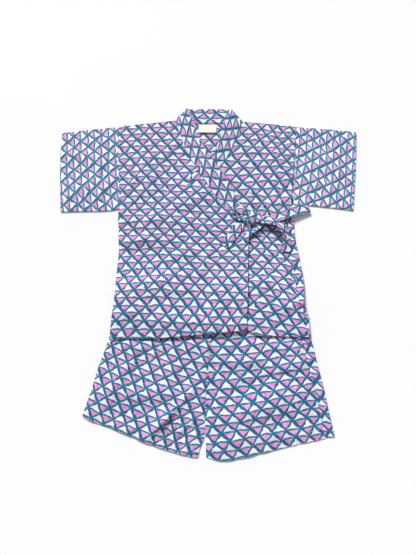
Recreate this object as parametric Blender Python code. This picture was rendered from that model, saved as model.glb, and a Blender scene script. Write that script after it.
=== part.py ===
"""Child's jinbei set laid flat: a wrap top tied with a bow, and shorts lying under its hem.

Every piece is a cloth wall with real thickness. Lengths below are millimetres in the plan of the
laid garment, +X to the right, +Y towards the collar and +Z up from the surface it rests on.
The last step puts the middle of the footprint at the origin and turns millimetres into metres.
"""

import math

import bmesh
import bpy
import numpy as np

MM = 0.001

# Cloth thicknesses, and the room left between layers and along seams
CLOTH = 1.2
BAND_CLOTH = 2.0
TIE_CLOTH = 1.6
LABEL_CLOTH = 0.8
SEAM_GAP = 0.3
LAY = 0.6

# Heights of the layers' undersides where they lie flat
FRONT_LEVEL = CLOTH + LAY
OVER_LEVEL = FRONT_LEVEL + CLOTH + LAY
BAND_STEP = BAND_CLOTH - CLOTH
TIE_LEVEL = OVER_LEVEL + BAND_STEP + BAND_CLOTH + LAY

# The top climbs over the waist of the shorts
WAIST_RISE = 6.4
RISE_START = 15.0
RISE_END = -50.0

# Waistband: depth, half width and the height of its gathered front
WAIST_TOP = -62.0
WAIST_DEPTH = 28.0
WAIST_HALF = 152.0
WAIST_FRONT = 3.0
GATHER_PITCH = 26.0
GATHER_HEIGHT = 0.8

# Length below the waistband over which the front of the shorts rises to it
WAIST_SLOPE = 40.0

# Middle radius of the bend where the back wraps over, and where the neckband folds at the shoulders
FLAP_BEND = FRONT_LEVEL / 2
BAND_BEND = 1.3

# The over front climbs between two distances inside the hidden front's edge, and comes down again
# inside the hidden neckband, which it meets between two heights
CLIMB = (-34.0, -16.0)
DESCENT = (52.0, 75.0)
HIDDEN_BAND_START = (40.0, 62.0)

# Colours of the printed cloth, taken as one average tone, and of the label
PRINT_COLOUR = (0.40, 0.42, 0.60)
TIE_COLOUR = (0.43, 0.44, 0.61)
LABEL_COLOUR = (0.93, 0.92, 0.76)

# Left side of the body from the hem up: y, x
LEFT_SIDE = ((-113, -175.5), (-80, -174), (-43, -171), (5, -170.5), (54, -169), (95, -171.5),
             (125, -173.5), (137.5, -171.5))

# Right side of the back, which wraps over its edge: y, fold x, flap length, turn in degrees
RIGHT_WRAP = ((-112, 178, 3, 0), (-98, 177.5, 3, 0), (-72, 177, 3, 0), (-64, 177, 3.5, 60),
              (-56, 176.5, 5, 120), (-48, 176.5, 9, 180), (-34, 176.8, 13, 180), (-20, 177, 14, 180),
              (-6, 176.5, 14, 180), (8, 175.5, 14, 180), (32, 172.5, 14.5, 180), (56, 168.5, 14, 180),
              (79, 165.5, 13, 180), (110, 165, 10, 180), (143, 166, 4, 180))

# Right edge of the front below the top of the vent: y, x
VENT_EDGE = ((-113, 180), (-98, 177), (-72, 173.5), (-60, 170.5))

# Armhole seams, from the underarm to the shoulder
ARMHOLE_LEFT = ((-171.5, 137.5), (-186, 320))
ARMHOLE_RIGHT = ((168, 147), (182, 320))

# Hems, left to right
BACK_HEM = ((-176, -121), (-150, -113), (-100, -111), (0, -102), (75, -98), (120, -105), (178, -112))
OVER_HEM = ((-176, -113), (-149, -115), (-117, -115), (-68, -112), (-9, -106), (69, -100))
UNDER_HEM = ((-73, -104), (0, -101), (72, -101), (86, -108), (121, -110), (180, -113))

# Front edges, from the hem up to the end of the neckband: y, x
OVER_EDGE = ((-100, 69), (-14, 73), (79, 77))
UNDER_EDGE = ((-104, -73), (-14, -75), (79, -77))

# Neckband on the over front, from its lower end to the shoulder fold: seam x, y, free x, y
OVER_BAND = ((77, 79, 104, 97), (71.5, 87.5, 98, 106), (66, 96, 92, 115), (56, 113, 79, 131),
             (44, 130, 62, 147), (32, 143, 53, 161), (18, 158, 49, 178), (7, 174, 41, 196),
             (-5, 194, 26, 216), (-19, 217, 14, 236), (-30, 238, 2, 255), (-41, 261, -9, 275),
             (-49, 280, -16, 289), (-55, 297, -23, 304), (-61, 314, -29, 323), (-65, 326, -35, 341),
             (-67, 334, -42, 362))

# Neckband on the under front, the same way: its lower half lies hidden under the over front
UNDER_BAND = ((-77, 79, -104, 97), (-66, 96, -92, 115), (-56, 113, -79, 131), (-44, 130, -62, 147),
              (-32, 143, -53, 161), (-18, 158, -49, 178), (-7, 174, -41, 196), (5, 194, -26, 216),
              (19, 215, -13, 236), (31, 234, 1, 252), (42, 252, 14, 265), (50, 271, 22, 285),
              (58, 289, 29, 305), (64, 304, 33, 322), (68, 319, 38, 341), (69, 332, 46, 362))

# Back of the neckband, from the left fold to the right fold: seam x, y, free x, y
BACK_BAND = ((-45, 331, -28, 362.5), (-22, 328, -13, 363), (0, 327, 2, 363), (23, 328, 17, 363),
             (46, 330, 31, 362.5))

# Sleeves: underside from armhole to cuff, top edge from armhole to cuff, cuff from the underside up
LEFT_SLEEVE = {
    "underside": ((-171.7, 137.5), (-189, 134.5), (-240, 132.5), (-286.5, 131.5)),
    "top": ((-186.2, 320), (-240, 314), (-298, 305.5)),
    "cuff": ((-286.5, 131.5), (-291, 178), (-295.5, 223), (-298, 305.5)),
}
RIGHT_SLEEVE = {
    "underside": ((168.2, 147), (196, 145), (240, 140), (282, 134.5)),
    "top": ((182.2, 320), (240, 315), (303.5, 308)),
    "cuff": ((282, 134.5), (288, 178), (294.5, 223), (303.5, 308)),
}

# Shorts: sides and inseams from the hem up, hems from left to right
SHORTS_WAIST = WAIST_TOP - WAIST_DEPTH
SHORTS_LEFT = ((-216, -247), (-201, -195), (-195, -169), (-182, -129), (-176, -108),
               (-152, SHORTS_WAIST))
SHORTS_RIGHT = ((213.5, -279.5), (211.5, -267), (205, -226), (200, -195), (192, -157), (184, -118),
                (177, -104), (152, SHORTS_WAIST))
SHORTS_FLAP = 15.0
# Share of a sleeve's section taken by each of its rounded edges
SLEEVE_EDGE = 0.009
CENTRE_SEAM = ((-5, -269), (-5, -237), (-3, -203), (2, -152), (5, -116), (6, SHORTS_WAIST))
INSEAM_LEFT = ((-17, -315.5), (-13, -297), (-7.5, -285), (-5.5, -269))
INSEAM_RIGHT = ((-3.5, -312), (-3.5, -290), (-4.5, -269))
HEM_LEFT = ((-216, -247), (-202, -255.5), (-175, -265), (-139, -279), (-94, -298), (-47, -310.5),
            (-17, -315.5))
HEM_RIGHT = ((-3.5, -312), (23, -319.5), (52, -317), (90, -308), (128, -298.5), (165, -290),
             (213.5, -279.5))

# Bare label inside the back of the neck, and how far its lower edge stands up
LABEL = {"left": -19.0, "right": 17.0, "top": 325.5, "bottom": 306.0}
LABEL_CURL = 1.6

# Knot: middle, direction of the tube in degrees, height, and its half widths along the tube
KNOT_MIDDLE = (84.6, 116.6)
KNOT_TURN = -22.0
KNOT_HEIGHT = 7.2
KNOT_HALF_WIDTHS = ((-8, 10.5), (0, 9.5), (8, 10.5))
KNOT_CROWN = 0.8

# Ties: middle x, y, height over the lowest tie, direction across, tilt across, width
TAIL_LEFT = ((74.2, 114, 0, 68, 0, 12), (69, 110, -0.2, 84, 0, 15), (60, 99, -1.2, 118, 0, 18),
             (47, 81, -2.6, 134, 0, 19), (30.5, 60, -3.4, 142, 0, 20))
LOOP = ((74.4, 115, 2.0, 68, 0, 13), (65, 116, 2.2, 66, 0, 15), (54, 120.5, 2.2, 62, 0, 14),
        (48.5, 124, 3.1, 62, 0, 11.5), (47, 125.6, 4.6, 64, 0, 11), (48.5, 127, 6.1, 68, 0, 11.5),
        (54, 130.5, 7.0, 80, 0, 13), (65, 131.5, 6.4, 84, 0, 13), (77.6, 123, 4.6, 68, 0, 12))
SIDE_TIE = ((92.7, 113.5, 0, 68, 0, 15), (107, 111, -0.2, 78, -4, 16), (124, 113.5, -0.4, 100, -10, 17),
            (142, 120, -1.4, 108, -12, 18), (166, 129.5, -3.0, 110, -8, 19.5),
            (195.5, 139, -5.2, 110, 3, 20))
TAIL_RIGHT = ((92.7, 113.5, 3.4, 68, 0, 15), (107, 110, 4.4, 80, -4, 15), (122, 106.5, 6.4, 72, -16, 15),
              (136, 98.5, 6.2, 46, -32, 16), (145, 87, 3.2, 16, -34, 17), (149, 74, -0.8, -2, -14, 16),
              (149, 61, -3.6, -8, 0, 16.5), (147.5, 49, -4.8, -8, 0, 18))

# Soft folds standing up from each piece:
# middle x, y, direction in degrees, half length, left flank, right flank, height
BAND_END = ((90.5, 88, 33.7, 26, 7, 14, 6.0),)
OVER_FOLDS = ((-118, 115, 3, 50, 15, 10, 4.4), (-118, 70, 2, 58, 14, 12, 5.4), (-82, -6, 15, 70, 24, 22, 6.0),
              (-50, -84, -2, 90, 15, 14, 3.4), (24, -40, 80, 46, 15, 11, 3.2), (56, 10, 88, 56, 11, 9, 1.8),
              (-120, 218, 96, 66, 24, 20, 3.6), (-36, 152, 24, 44, 17, 13, 3.0))
UNDER_FOLDS = ((86, 172, -44, 28, 12, 8, 3.4), (144, 166, -76, 26, 8, 12, 4.2),
               (122, 196, -52, 24, 10, 7, 2.4), (142, 4, 97, 36, 14, 9, 3.2), (96, -18, 6, 26, 12, 9, 3.8),
               (140, -60, 22, 32, 13, 10, 3.4), (132, 258, 94, 40, 16, 14, 2.6))
LEFT_SLEEVE_FOLDS = ((-236, 200, 88, 70, 30, 30, 3.0), (-256, 250, -14, 36, 14, 10, 3.2),
                     (-206, 178, 58, 32, 11, 8, 2.6))
RIGHT_SLEEVE_FOLDS = ((244, 204, 92, 70, 30, 30, 3.0), (222, 252, -30, 34, 14, 9, 3.4),
                      (212, 196, 128, 36, 8, 12, 3.0))
LEFT_LEG_FOLDS = ((-71, -261, 46, 37, 14, 8, 6.0), (-108, -214, 4, 44, 14, 10, 4.4),
                  (-168, -205, 68, 42, 14, 11, 3.2), (-62, -168, 82, 42, 15, 12, 3.2),
                  (-13, -158, 88, 48, 11, 8, 3.8))
RIGHT_LEG_FOLDS = ((100, -157, 2, 78, 13, 10, 4.6), (78, -224, 6, 68, 23, 20, 6.0),
                   (22, -150, 84, 42, 8, 8, 3.0), (160, -196, 98, 50, 15, 12, 3.0))
# The under front's folds start past the edge that covers it, and the legs' folds below the hem of the top
CLEAR_OF_COVER = (4.0, 18.0)
BELOW_TOP = (-105.0, -130.0)


def smooth(value, start, end):
    """Ease from 0 at start to 1 at end."""
    share = np.clip((value - start) / (end - start), 0.0, 1.0)
    return share * share * (3 - 2 * share)


def along(points, count):
    """Spread points evenly along an outline."""
    points = np.array(points, float)
    lengths = np.concatenate(([0.0], np.cumsum(np.linalg.norm(np.diff(points, axis=0), axis=1))))
    places = np.linspace(0.0, lengths[-1], count)
    return np.stack([np.interp(places, lengths, points[:, axis]) for axis in range(2)], axis=1)


def patch(bottom, top, left, right):
    """Fill four edges with a grid of plan points; left and right run upwards, rows come first."""
    across = np.linspace(0.0, 1.0, len(bottom))[None, :, None]
    up = np.linspace(0.0, 1.0, len(left))[:, None, None]
    between_sides = (1 - across) * left[:, None] + across * right[:, None]
    between_ends = (1 - up) * bottom[None] + up * top[None]
    lower = (1 - across) * bottom[0] + across * bottom[-1]
    upper = (1 - across) * top[0] + across * top[-1]
    return between_sides + between_ends - (1 - up) * lower - up * upper


def ridges(plan, folds):
    """Height added by a table of soft folds at plan points."""
    height = np.zeros(plan.shape[:-1])
    for middle_x, middle_y, degrees, half_length, left_flank, right_flank, rise in folds:
        turn = math.radians(degrees)
        aside_x = plan[..., 0] - middle_x
        aside_y = plan[..., 1] - middle_y
        lengthwise = aside_x * math.cos(turn) + aside_y * math.sin(turn)
        crosswise = aside_y * math.cos(turn) - aside_x * math.sin(turn)
        flank = np.where(crosswise > 0, left_flank, right_flank)
        height += rise * np.exp(-(lengthwise / half_length) ** 2 - (crosswise / flank) ** 2)
    return height


def top_rise(plan):
    """Height the top gains where it lies over the waist of the shorts."""
    return WAIST_RISE * smooth(plan[..., 1], RISE_START, RISE_END)


def under_floor(plan):
    """Underside of the under front."""
    return FRONT_LEVEL + top_rise(plan)


def over_floor(plan):
    """Underside of the over front: low on the back, higher over what it hides and at its loose end."""
    hidden = [(y, x) for _, _, x, y in UNDER_BAND]
    heights, edges = zip(*UNDER_EDGE, *hidden)
    inside = plan[..., 0] - np.interp(plan[..., 1], heights, edges)
    on_front = smooth(inside, *CLIMB)
    on_band = on_front * (1 - smooth(inside, *DESCENT)) * smooth(plan[..., 1], *HIDDEN_BAND_START)
    climb = (OVER_LEVEL - FRONT_LEVEL) * on_front + BAND_STEP * on_band
    return under_floor(plan) + climb + ridges(plan, BAND_END)


def uncovered(plan):
    """1 where the under front is seen, easing to 0 under the over front and its neckband."""
    heights, edges = zip(*OVER_EDGE, *[(y, x) for _, _, x, y in OVER_BAND])
    return smooth(plan[..., 0] - np.interp(plan[..., 1], heights, edges), *CLEAR_OF_COVER)


def cloth_material(name, colour):
    """Matt woven cotton in one colour."""
    material = bpy.data.materials.new(name)
    material.use_nodes = True
    shader = material.node_tree.nodes["Principled BSDF"]
    shader.inputs["Base Color"].default_value = (*colour, 1.0)
    shader.inputs["Roughness"].default_value = 0.88
    shader.inputs["Metallic"].default_value = 0.0
    return material


def wall(name, points, outward, thickness, colour=PRINT_COLOUR, ring=False):
    """Make a closed cloth wall round a grid of middle points; a missing point leaves a notch."""
    rows, columns = points.shape[:2]
    numbers = {}
    corners = []
    for place in np.ndindex(rows, columns):
        if not np.isnan(points[place]).any():
            numbers[place] = len(corners)
            corners += [points[place] + outward[place] * thickness / 2,
                        points[place] - outward[place] * thickness / 2]
    cells = []
    for row in range(rows - 1):
        for column in range(columns if ring else columns - 1):
            beside = (column + 1) % columns
            places = ((row, column), (row, beside), (row + 1, beside), (row + 1, column))
            if all(place in numbers for place in places):
                a, b, c, d = (numbers[place] for place in places)
                cells += [(a, b, c), (a, c, d)]
    edges = {(cell[side], cell[(side + 1) % 3]) for cell in cells for side in range(3)}
    rims = [(a, b) for a, b in sorted(edges) if (b, a) not in edges]
    faces = cells + [tuple(corner + 1 for corner in reversed(cell)) for cell in cells]
    faces += [(b, a, a + 1, b + 1) for a, b in rims]
    mesh = bpy.data.meshes.new(name)
    mesh.from_pydata([tuple(corner * MM) for corner in corners], [], faces)
    tidy = bmesh.new()
    tidy.from_mesh(mesh)
    bmesh.ops.recalc_face_normals(tidy, faces=tidy.faces)
    tidy.to_mesh(mesh)
    tidy.free()
    mesh.shade_smooth()
    mesh.set_sharp_from_angle(angle=math.radians(50))
    piece = bpy.data.objects.new(name, mesh)
    bpy.context.scene.collection.objects.link(piece)
    mesh.materials.append(cloth_material(name + "_cloth", colour))
    return piece


def flat_sheet(plan, underside, thickness):
    """Turn plan points and undersides into middle points and upward directions."""
    points = np.concatenate([plan, (underside + thickness / 2)[..., None]], axis=-1)
    outward = np.zeros_like(points)
    outward[..., 2] = 1.0
    return points, outward


def wrapped_edge(fold_x, fold_y, base, flap, degrees):
    """Section past a fold line: a bend through the given turn, then a flap. Returns points, outward."""
    length = math.pi * FLAP_BEND
    turn = math.radians(max(degrees, 1.0))
    radius = length / turn
    points = []
    outward = []
    for step in range(1, 5):
        angle = turn * step / 4
        points.append((fold_x + radius * math.sin(angle), fold_y,
                       base + CLOTH / 2 + radius * (1 - math.cos(angle))))
        outward.append((-math.sin(angle), 0.0, math.cos(angle)))
    end = points[-1]
    for share in (0.5, 1.0):
        points.append((end[0] + share * flap * math.cos(turn), fold_y,
                       end[2] + share * flap * math.sin(turn)))
        outward.append(outward[3])
    return np.array(points), np.array(outward)


def ring_section(plan, low, high):
    """Section of a flattened tube: lower wall, rounded edge, upper wall, rounded edge."""
    low = np.full(len(plan), low, float)
    points = [(x, y, z) for (x, y), z in zip(plan, low)]
    outward = [(0.0, 0.0, -1.0)] * len(plan)
    for ends, order in (((-1, -2), 1), ((0, 1), -1)):
        away = plan[ends[0]] - plan[ends[1]]
        away = away / np.linalg.norm(away)
        bottom, top = low[ends[0]], high[ends[0]]
        radius = (top - bottom) / 2
        angles = (45, 90, 135) if order == 1 else (135, 90, 45)
        for degrees in angles:
            angle = math.radians(degrees)
            reach = radius * math.sin(angle)
            points.append((*(plan[ends[0]] + away * reach), bottom + radius * (1 - math.cos(angle))))
            outward.append((*(away * math.sin(angle)), -math.cos(angle)))
        if order == 1:
            points += [(x, y, z) for (x, y), z in zip(plan[::-1], high[::-1])]
            outward += [(0.0, 0.0, 1.0)] * len(plan)
    return np.array(points), np.array(outward)


def ribbon(name, rows, low):
    """Tie strip through the rows of its table, over the height of the lowest tie."""
    rows = np.array(rows, float)
    middles = rows[:, :3] + (0.0, 0.0, low)
    turn = np.radians(rows[:, 3])
    tilt = np.radians(rows[:, 4])
    across = np.stack([np.cos(turn) * np.cos(tilt), np.sin(turn) * np.cos(tilt), np.sin(tilt)], axis=1)
    onward = np.gradient(middles, axis=0)
    outward = np.cross(onward, across)
    outward /= np.linalg.norm(outward, axis=1)[:, None]
    sides = np.array([-0.5, 0.0, 0.5])
    points = middles[:, None] + across[:, None] * (sides[None, :, None] * rows[:, 5][:, None, None])
    return wall(name, points, np.repeat(outward[:, None], 3, axis=1), TIE_CLOTH, TIE_COLOUR)


def curve_x(table, heights):
    """Read an edge given as y, x at the wanted heights."""
    return np.interp(heights, [row[0] for row in table], [row[1] for row in table])


def wrap_values(heights):
    """Fold line, flap and turn of the back's right side at the wanted heights."""
    columns = list(zip(*RIGHT_WRAP))
    return [np.interp(heights, columns[0], column) for column in columns[1:]]


def side_heights(hem_y):
    """Heights of the rows between a hem and the underarm, close together at the vent."""
    return np.array([hem_y] + [row[0] for row in RIGHT_WRAP[1:]], float)


def left_side(hem_y):
    """Left edge of the body from a hem up to the underarm."""
    heights = np.minimum(side_heights(hem_y), LEFT_SIDE[-1][0])
    return np.stack([curve_x(LEFT_SIDE, heights), heights], axis=1)


def front_edge(table):
    """Free edge of a front from its hem up to the end of the neckband."""
    heights = side_heights(table[0][0])
    heights = heights[heights <= table[-1][0]]
    return np.stack([curve_x(table, heights), heights], axis=1)


def front_right_side():
    """Right edge of the under front: open at the vent, then meeting the back's flap."""
    heights = side_heights(UNDER_HEM[-1][1])
    fold, flap, _ = wrap_values(heights)
    sewn = fold - flap - 2 * SEAM_GAP
    edge = np.where(heights < VENT_EDGE[-1][0], curve_x(VENT_EDGE, heights), sewn)
    return np.stack([edge, heights], axis=1)


def inset(points, amount):
    """Move plan points sideways."""
    return np.array(points, float) + np.array([amount, 0.0])


def joined(*edges):
    """Run edges into one, leaving out the repeated corners."""
    return np.concatenate([edges[0]] + [edge[1:] for edge in edges[1:]])


def seam_points(band):
    """Seam side of a stretch of neckband."""
    return np.array([(row[0], row[1]) for row in band], float)


def build_over_front():
    """Front that lies on top, on the viewer's left."""
    neck = inset(seam_points(OVER_BAND), -SEAM_GAP)
    right = joined(inset(front_edge(OVER_EDGE), -SEAM_GAP), neck)
    side = left_side(OVER_HEM[0][1])
    armhole = inset(along(ARMHOLE_LEFT, len(right) - len(side) + 1), SEAM_GAP / 2)
    left = joined(side, armhole)
    bottom = along([left[0], *OVER_HEM[1:-1], right[0]], 12)
    top = along([left[-1], right[-1]], 12)
    plan = patch(bottom, top, left, right)
    points, outward = flat_sheet(plan, over_floor(plan) + ridges(plan, OVER_FOLDS), CLOTH)
    return wall("over_front", points, outward, CLOTH)


def build_under_front():
    """Front that lies underneath, on the viewer's right; it reaches across under the over front."""
    neck = inset(seam_points(UNDER_BAND), SEAM_GAP)
    left = joined(inset(front_edge(UNDER_EDGE), SEAM_GAP), neck)
    side = front_right_side()
    armhole = inset(along(ARMHOLE_RIGHT, len(left) - len(side)), -SEAM_GAP / 2)
    right = np.concatenate([side, armhole])
    bottom = along([left[0], *UNDER_HEM[1:-1], right[0]], 13)
    top = along([left[-1], right[-1]], 13)
    plan = patch(bottom, top, left, right)
    folds = ridges(plan, UNDER_FOLDS) * uncovered(plan)
    points, outward = flat_sheet(plan, under_floor(plan) + folds, CLOTH)
    return wall("under_front", points, outward, CLOTH)


def build_back():
    """Back panel, flat on the surface, its right side wrapped over to the seam on the front."""
    heights = side_heights(BACK_HEM[-1][1])
    side_rows = len(heights)
    left = joined(left_side(BACK_HEM[0][1]), inset(along(ARMHOLE_LEFT, 8), SEAM_GAP / 2))
    fold, flap, turn = wrap_values(heights)
    side = np.stack([fold, heights], axis=1)
    right = np.concatenate([side, inset(along(ARMHOLE_RIGHT, 7), -SEAM_GAP / 2)])
    bottom = along([left[0], *BACK_HEM[1:-1], right[0]], 13)
    neck = seam_points(BACK_BAND) - (0.0, SEAM_GAP)
    ends = [(x, y - SEAM_GAP) for x, y, _, _ in (OVER_BAND[-1], UNDER_BAND[-1])]
    top = joined(along([left[-1], ends[0]], 4), np.array([ends[0], *neck, ends[1]]),
                 along([ends[1], right[-1]], 4))
    plan = patch(bottom, top, left, right)
    points, outward = flat_sheet(plan, top_rise(plan), CLOTH)
    extra = np.full((len(points), 6, 3), np.nan)
    turned = np.zeros_like(extra)
    for row in range(side_rows):
        x, y = plan[row, -1]
        base = top_rise(plan[row, -1])
        extra[row], turned[row] = wrapped_edge(x, y, base, flap[row], turn[row])
    return wall("back_panel", np.concatenate([points, extra], axis=1),
                np.concatenate([outward, turned], axis=1), CLOTH)


def build_sleeve(name, edges, armhole, folds, gap):
    """Sleeve: a flattened tube open at the armhole and the cuff."""
    sections = 9
    across = 12
    plan = patch(inset(along(armhole, across), gap), along(edges["cuff"], across),
                 along(edges["underside"], sections), along(edges["top"], sections))
    shares = np.linspace(SLEEVE_EDGE, 1 - SLEEVE_EDGE, across)
    places = np.linspace(0.0, 1.0, across)
    points = []
    outward = []
    for section in range(sections):
        line = np.stack([np.interp(shares, places, plan[section, :, axis]) for axis in range(2)], axis=1)
        swell = ridges(line, folds) * np.sin(np.pi * places) ** 0.7 * smooth(section, 0, 2.5)
        high = CLOTH / 2 + FRONT_LEVEL + swell
        around, away = ring_section(line, CLOTH / 2, high)
        points.append(around)
        outward.append(away)
    return wall(name, np.array(points), np.array(outward), CLOTH, ring=True)


def band_stretch(band, floor):
    """Middle points of a front stretch of neckband, four across, rising to the shoulder fold."""
    table = np.array(band, float)
    shares = np.linspace(0.0, 1.0, 4)[None, :, None]
    plan = (1 - shares) * table[:, None, 0:2] + shares * table[:, None, 2:4]
    level = floor(plan)
    lift = smooth(np.arange(len(table)), len(table) - 4, len(table) - 1)[:, None]
    return flat_sheet(plan, level * (1 - lift) + 2 * BAND_BEND * lift, BAND_CLOTH)


def fold_rows(line, away, steps):
    """Rows of the neckband as it turns over a shoulder fold, given its turn at each row."""
    line = np.array(line, float)
    middle = BAND_CLOTH / 2 + BAND_BEND
    points = []
    outward = []
    for degrees in steps:
        angle = math.radians(degrees)
        reach = np.array(away) * math.sin(angle)
        points.append([(*(spot + BAND_BEND * reach), middle + BAND_BEND * math.cos(angle)) for spot in line])
        outward.append([(*reach, math.cos(angle))] * len(line))
    return np.array(points), np.array(outward)


def build_neckband():
    """Folded strip round the neck: over front, left fold, back of the neck, right fold, under front."""
    over, over_out = band_stretch(OVER_BAND, over_floor)
    under, under_out = band_stretch(UNDER_BAND, under_floor)
    table = np.array(BACK_BAND, float)
    shares = np.linspace(0.0, 1.0, 4)[None, :, None]
    plan = (1 - shares) * table[:, None, 0:2] + shares * table[:, None, 2:4]
    back, back_out = flat_sheet(plan, np.zeros(plan.shape[:2]), BAND_CLOTH)
    pieces = [over]
    directions = [over_out]
    for stretch, steps in ((over, (45, 90, 135, 180)), (under, (180, 135, 90, 45))):
        line = stretch[-1, :, :2]
        slope = line[-1] - line[0]
        away = np.array([-slope[1], slope[0]]) / np.linalg.norm(slope)
        if stretch is under:
            away = -away
        points, outward = fold_rows(line, away, steps)
        pieces.append(points)
        directions.append(outward)
        if stretch is over:
            pieces.append(back)
            directions.append(-back_out)
    pieces.append(under[::-1])
    directions.append(under_out[::-1])
    return wall("neckband", np.concatenate(pieces), np.concatenate(directions), BAND_CLOTH)


def build_label():
    """Bare woven label on the inside of the back, its lower edge standing up a little."""
    left, right, top, bottom = (LABEL[side] for side in ("left", "right", "top", "bottom"))
    plan = patch(along(((left, bottom), (right, bottom)), 6), along(((left, top), (right, top)), 6),
                 along(((left, bottom), (left, top)), 4), along(((right, bottom), (right, top)), 4))
    lift = LABEL_CURL * (1 - smooth(plan[..., 1], bottom, top))
    points, outward = flat_sheet(plan, CLOTH + SEAM_GAP + lift, LABEL_CLOTH)
    return wall("label", points, outward, LABEL_CLOTH, LABEL_COLOUR)


def leg_plan(side, inseam, hem, mirrored, gap, columns, centre_rows):
    """Grid of one leg panel from the hem up to the waist."""
    inner = inset(joined(along(inseam, 4), along(CENTRE_SEAM, centre_rows)), gap)
    outer = along(side, 3 + centre_rows)
    left, right = (inner, outer) if mirrored else (outer, inner)
    bottom = along([left[0], *hem[1:-1], right[0]], columns)
    return patch(bottom, along([left[-1], right[-1]], columns), left, right)


def waist_lift(plan):
    """Height the front of the shorts gains towards its gathered waistband."""
    gathers = GATHER_HEIGHT * (0.5 - 0.5 * np.cos(2 * np.pi * plan[..., 0] / GATHER_PITCH))
    near = smooth(plan[..., 1], SHORTS_WAIST - WAIST_SLOPE, SHORTS_WAIST)
    return near * (WAIST_FRONT - FRONT_LEVEL + gathers)


def build_leg_fronts():
    """Front panels of the two legs."""
    inner_side = [(x - SHORTS_FLAP - 2 * SEAM_GAP, y) for x, y in SHORTS_RIGHT]
    hem = [*HEM_RIGHT[:-1], (inner_side[0][0], inner_side[0][1] - 3)]
    inner_side[0] = hem[-1]
    for name, plan, folds in (
            ("shorts_front_left", leg_plan(SHORTS_LEFT, INSEAM_LEFT, HEM_LEFT, False, -SEAM_GAP / 2, 16, 11),
             LEFT_LEG_FOLDS),
            ("shorts_front_right", leg_plan(inner_side, INSEAM_RIGHT, hem, True, SEAM_GAP / 2, 16, 11),
             RIGHT_LEG_FOLDS)):
        level = FRONT_LEVEL + waist_lift(plan) + ridges(plan, folds) * smooth(plan[..., 1], *BELOW_TOP)
        points, outward = flat_sheet(plan, level, CLOTH)
        wall(name, points, outward, CLOTH)


def build_leg_backs():
    """Back panels of the two legs, flat on the surface; the right one wraps over its side."""
    plan = leg_plan(SHORTS_LEFT, INSEAM_LEFT, HEM_LEFT, False, -SEAM_GAP / 2, 9, 7)
    points, outward = flat_sheet(plan, np.zeros(plan.shape[:2]), CLOTH)
    wall("shorts_back_left", points, outward, CLOTH)
    plan = leg_plan(SHORTS_RIGHT, INSEAM_RIGHT, HEM_RIGHT, True, SEAM_GAP / 2, 9, 11)
    points, outward = flat_sheet(plan, np.zeros(plan.shape[:2]), CLOTH)
    extra = []
    turned = []
    for x, y in plan[:, -1]:
        section, away = wrapped_edge(x, y, 0.0, SHORTS_FLAP, 180)
        extra.append(section)
        turned.append(away)
    wall("shorts_back_right", np.concatenate([points, extra], axis=1),
         np.concatenate([outward, turned], axis=1), CLOTH)


def build_waistband():
    """Elastic waistband: a flattened ring, its front gathered, hidden under the hem of the top."""
    across = np.linspace(-WAIST_HALF, WAIST_HALF, 25)
    points = []
    outward = []
    for y in np.linspace(SHORTS_WAIST + SEAM_GAP, WAIST_TOP, 4):
        plan = np.stack([across, np.full_like(across, y)], axis=1)
        gathers = GATHER_HEIGHT * (0.5 - 0.5 * np.cos(2 * np.pi * across / GATHER_PITCH))
        high = WAIST_FRONT + BAND_CLOTH / 2 + gathers
        around, away = ring_section(plan, BAND_CLOTH / 2, high)
        points.append(around)
        outward.append(away)
    return wall("waistband", np.array(points), np.array(outward), BAND_CLOTH, ring=True)


def build_bow():
    """Two ties knotted over the end of the neckband: knot, loop and three tails."""
    knot_low = TIE_LEVEL + TIE_CLOTH / 2
    knot_high = knot_low + KNOT_HEIGHT
    turn = math.radians(KNOT_TURN)
    onward = np.array([math.cos(turn), math.sin(turn)])
    across = np.array([-onward[1], onward[0]])
    points = []
    outward = []
    for step, half in KNOT_HALF_WIDTHS:
        shares = np.linspace(-1.0, 1.0, 5)
        plan = np.array(KNOT_MIDDLE) + step * onward + half * shares[:, None] * across
        crown = KNOT_CROWN * (1 - shares ** 2)
        around, away = ring_section(plan, knot_low, knot_high + crown)
        points.append(around)
        outward.append(away)
    wall("tie_knot", np.array(points), np.array(outward), TIE_CLOTH, TIE_COLOUR, ring=True)
    low = knot_low + TIE_CLOTH + SEAM_GAP
    for name, rows in (("tie_tail_left", TAIL_LEFT), ("tie_loop", LOOP), ("tie_side", SIDE_TIE),
                       ("tie_tail_right", TAIL_RIGHT)):
        ribbon(name, rows, low)


def centre_on_floor():
    """Put the middle of the footprint at the origin and the lowest point on the surface."""
    pieces = [piece for piece in bpy.context.scene.objects if piece.type == "MESH"]
    spots = np.array([vertex.co for piece in pieces for vertex in piece.data.vertices])
    low, high = spots.min(axis=0), spots.max(axis=0)
    move = np.array([-(low[0] + high[0]) / 2, -(low[1] + high[1]) / 2, -low[2]])
    for piece in pieces:
        for vertex in piece.data.vertices:
            vertex.co = vertex.co + type(vertex.co)(move)
    print("size mm", np.round((high - low) / MM, 1), "moved", np.round(move / MM, 2))


def main():
    for old in list(bpy.data.objects):
        bpy.data.objects.remove(old)
    build_back()
    build_under_front()
    build_over_front()
    build_sleeve("sleeve_left", LEFT_SLEEVE, ARMHOLE_LEFT, LEFT_SLEEVE_FOLDS, -SEAM_GAP / 2)
    build_sleeve("sleeve_right", RIGHT_SLEEVE, ARMHOLE_RIGHT, RIGHT_SLEEVE_FOLDS, SEAM_GAP / 2)
    build_neckband()
    build_label()
    build_leg_backs()
    build_leg_fronts()
    build_waistband()
    build_bow()
    centre_on_floor()


main()
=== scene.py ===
# %% [markdown]
# # A child's jinbei set laid flat
# The set is a wrap top with short sleeves, a folded neckband and tied strings, and a pair of wide
# shorts whose waist lies under the top's hem. Everything is thin printed cotton, so every piece
# here is a thin closed shell of cloth. The imported model comes first: it is the frame that each
# piece has to fit.

# %% Load the imported frame
import math

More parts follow.
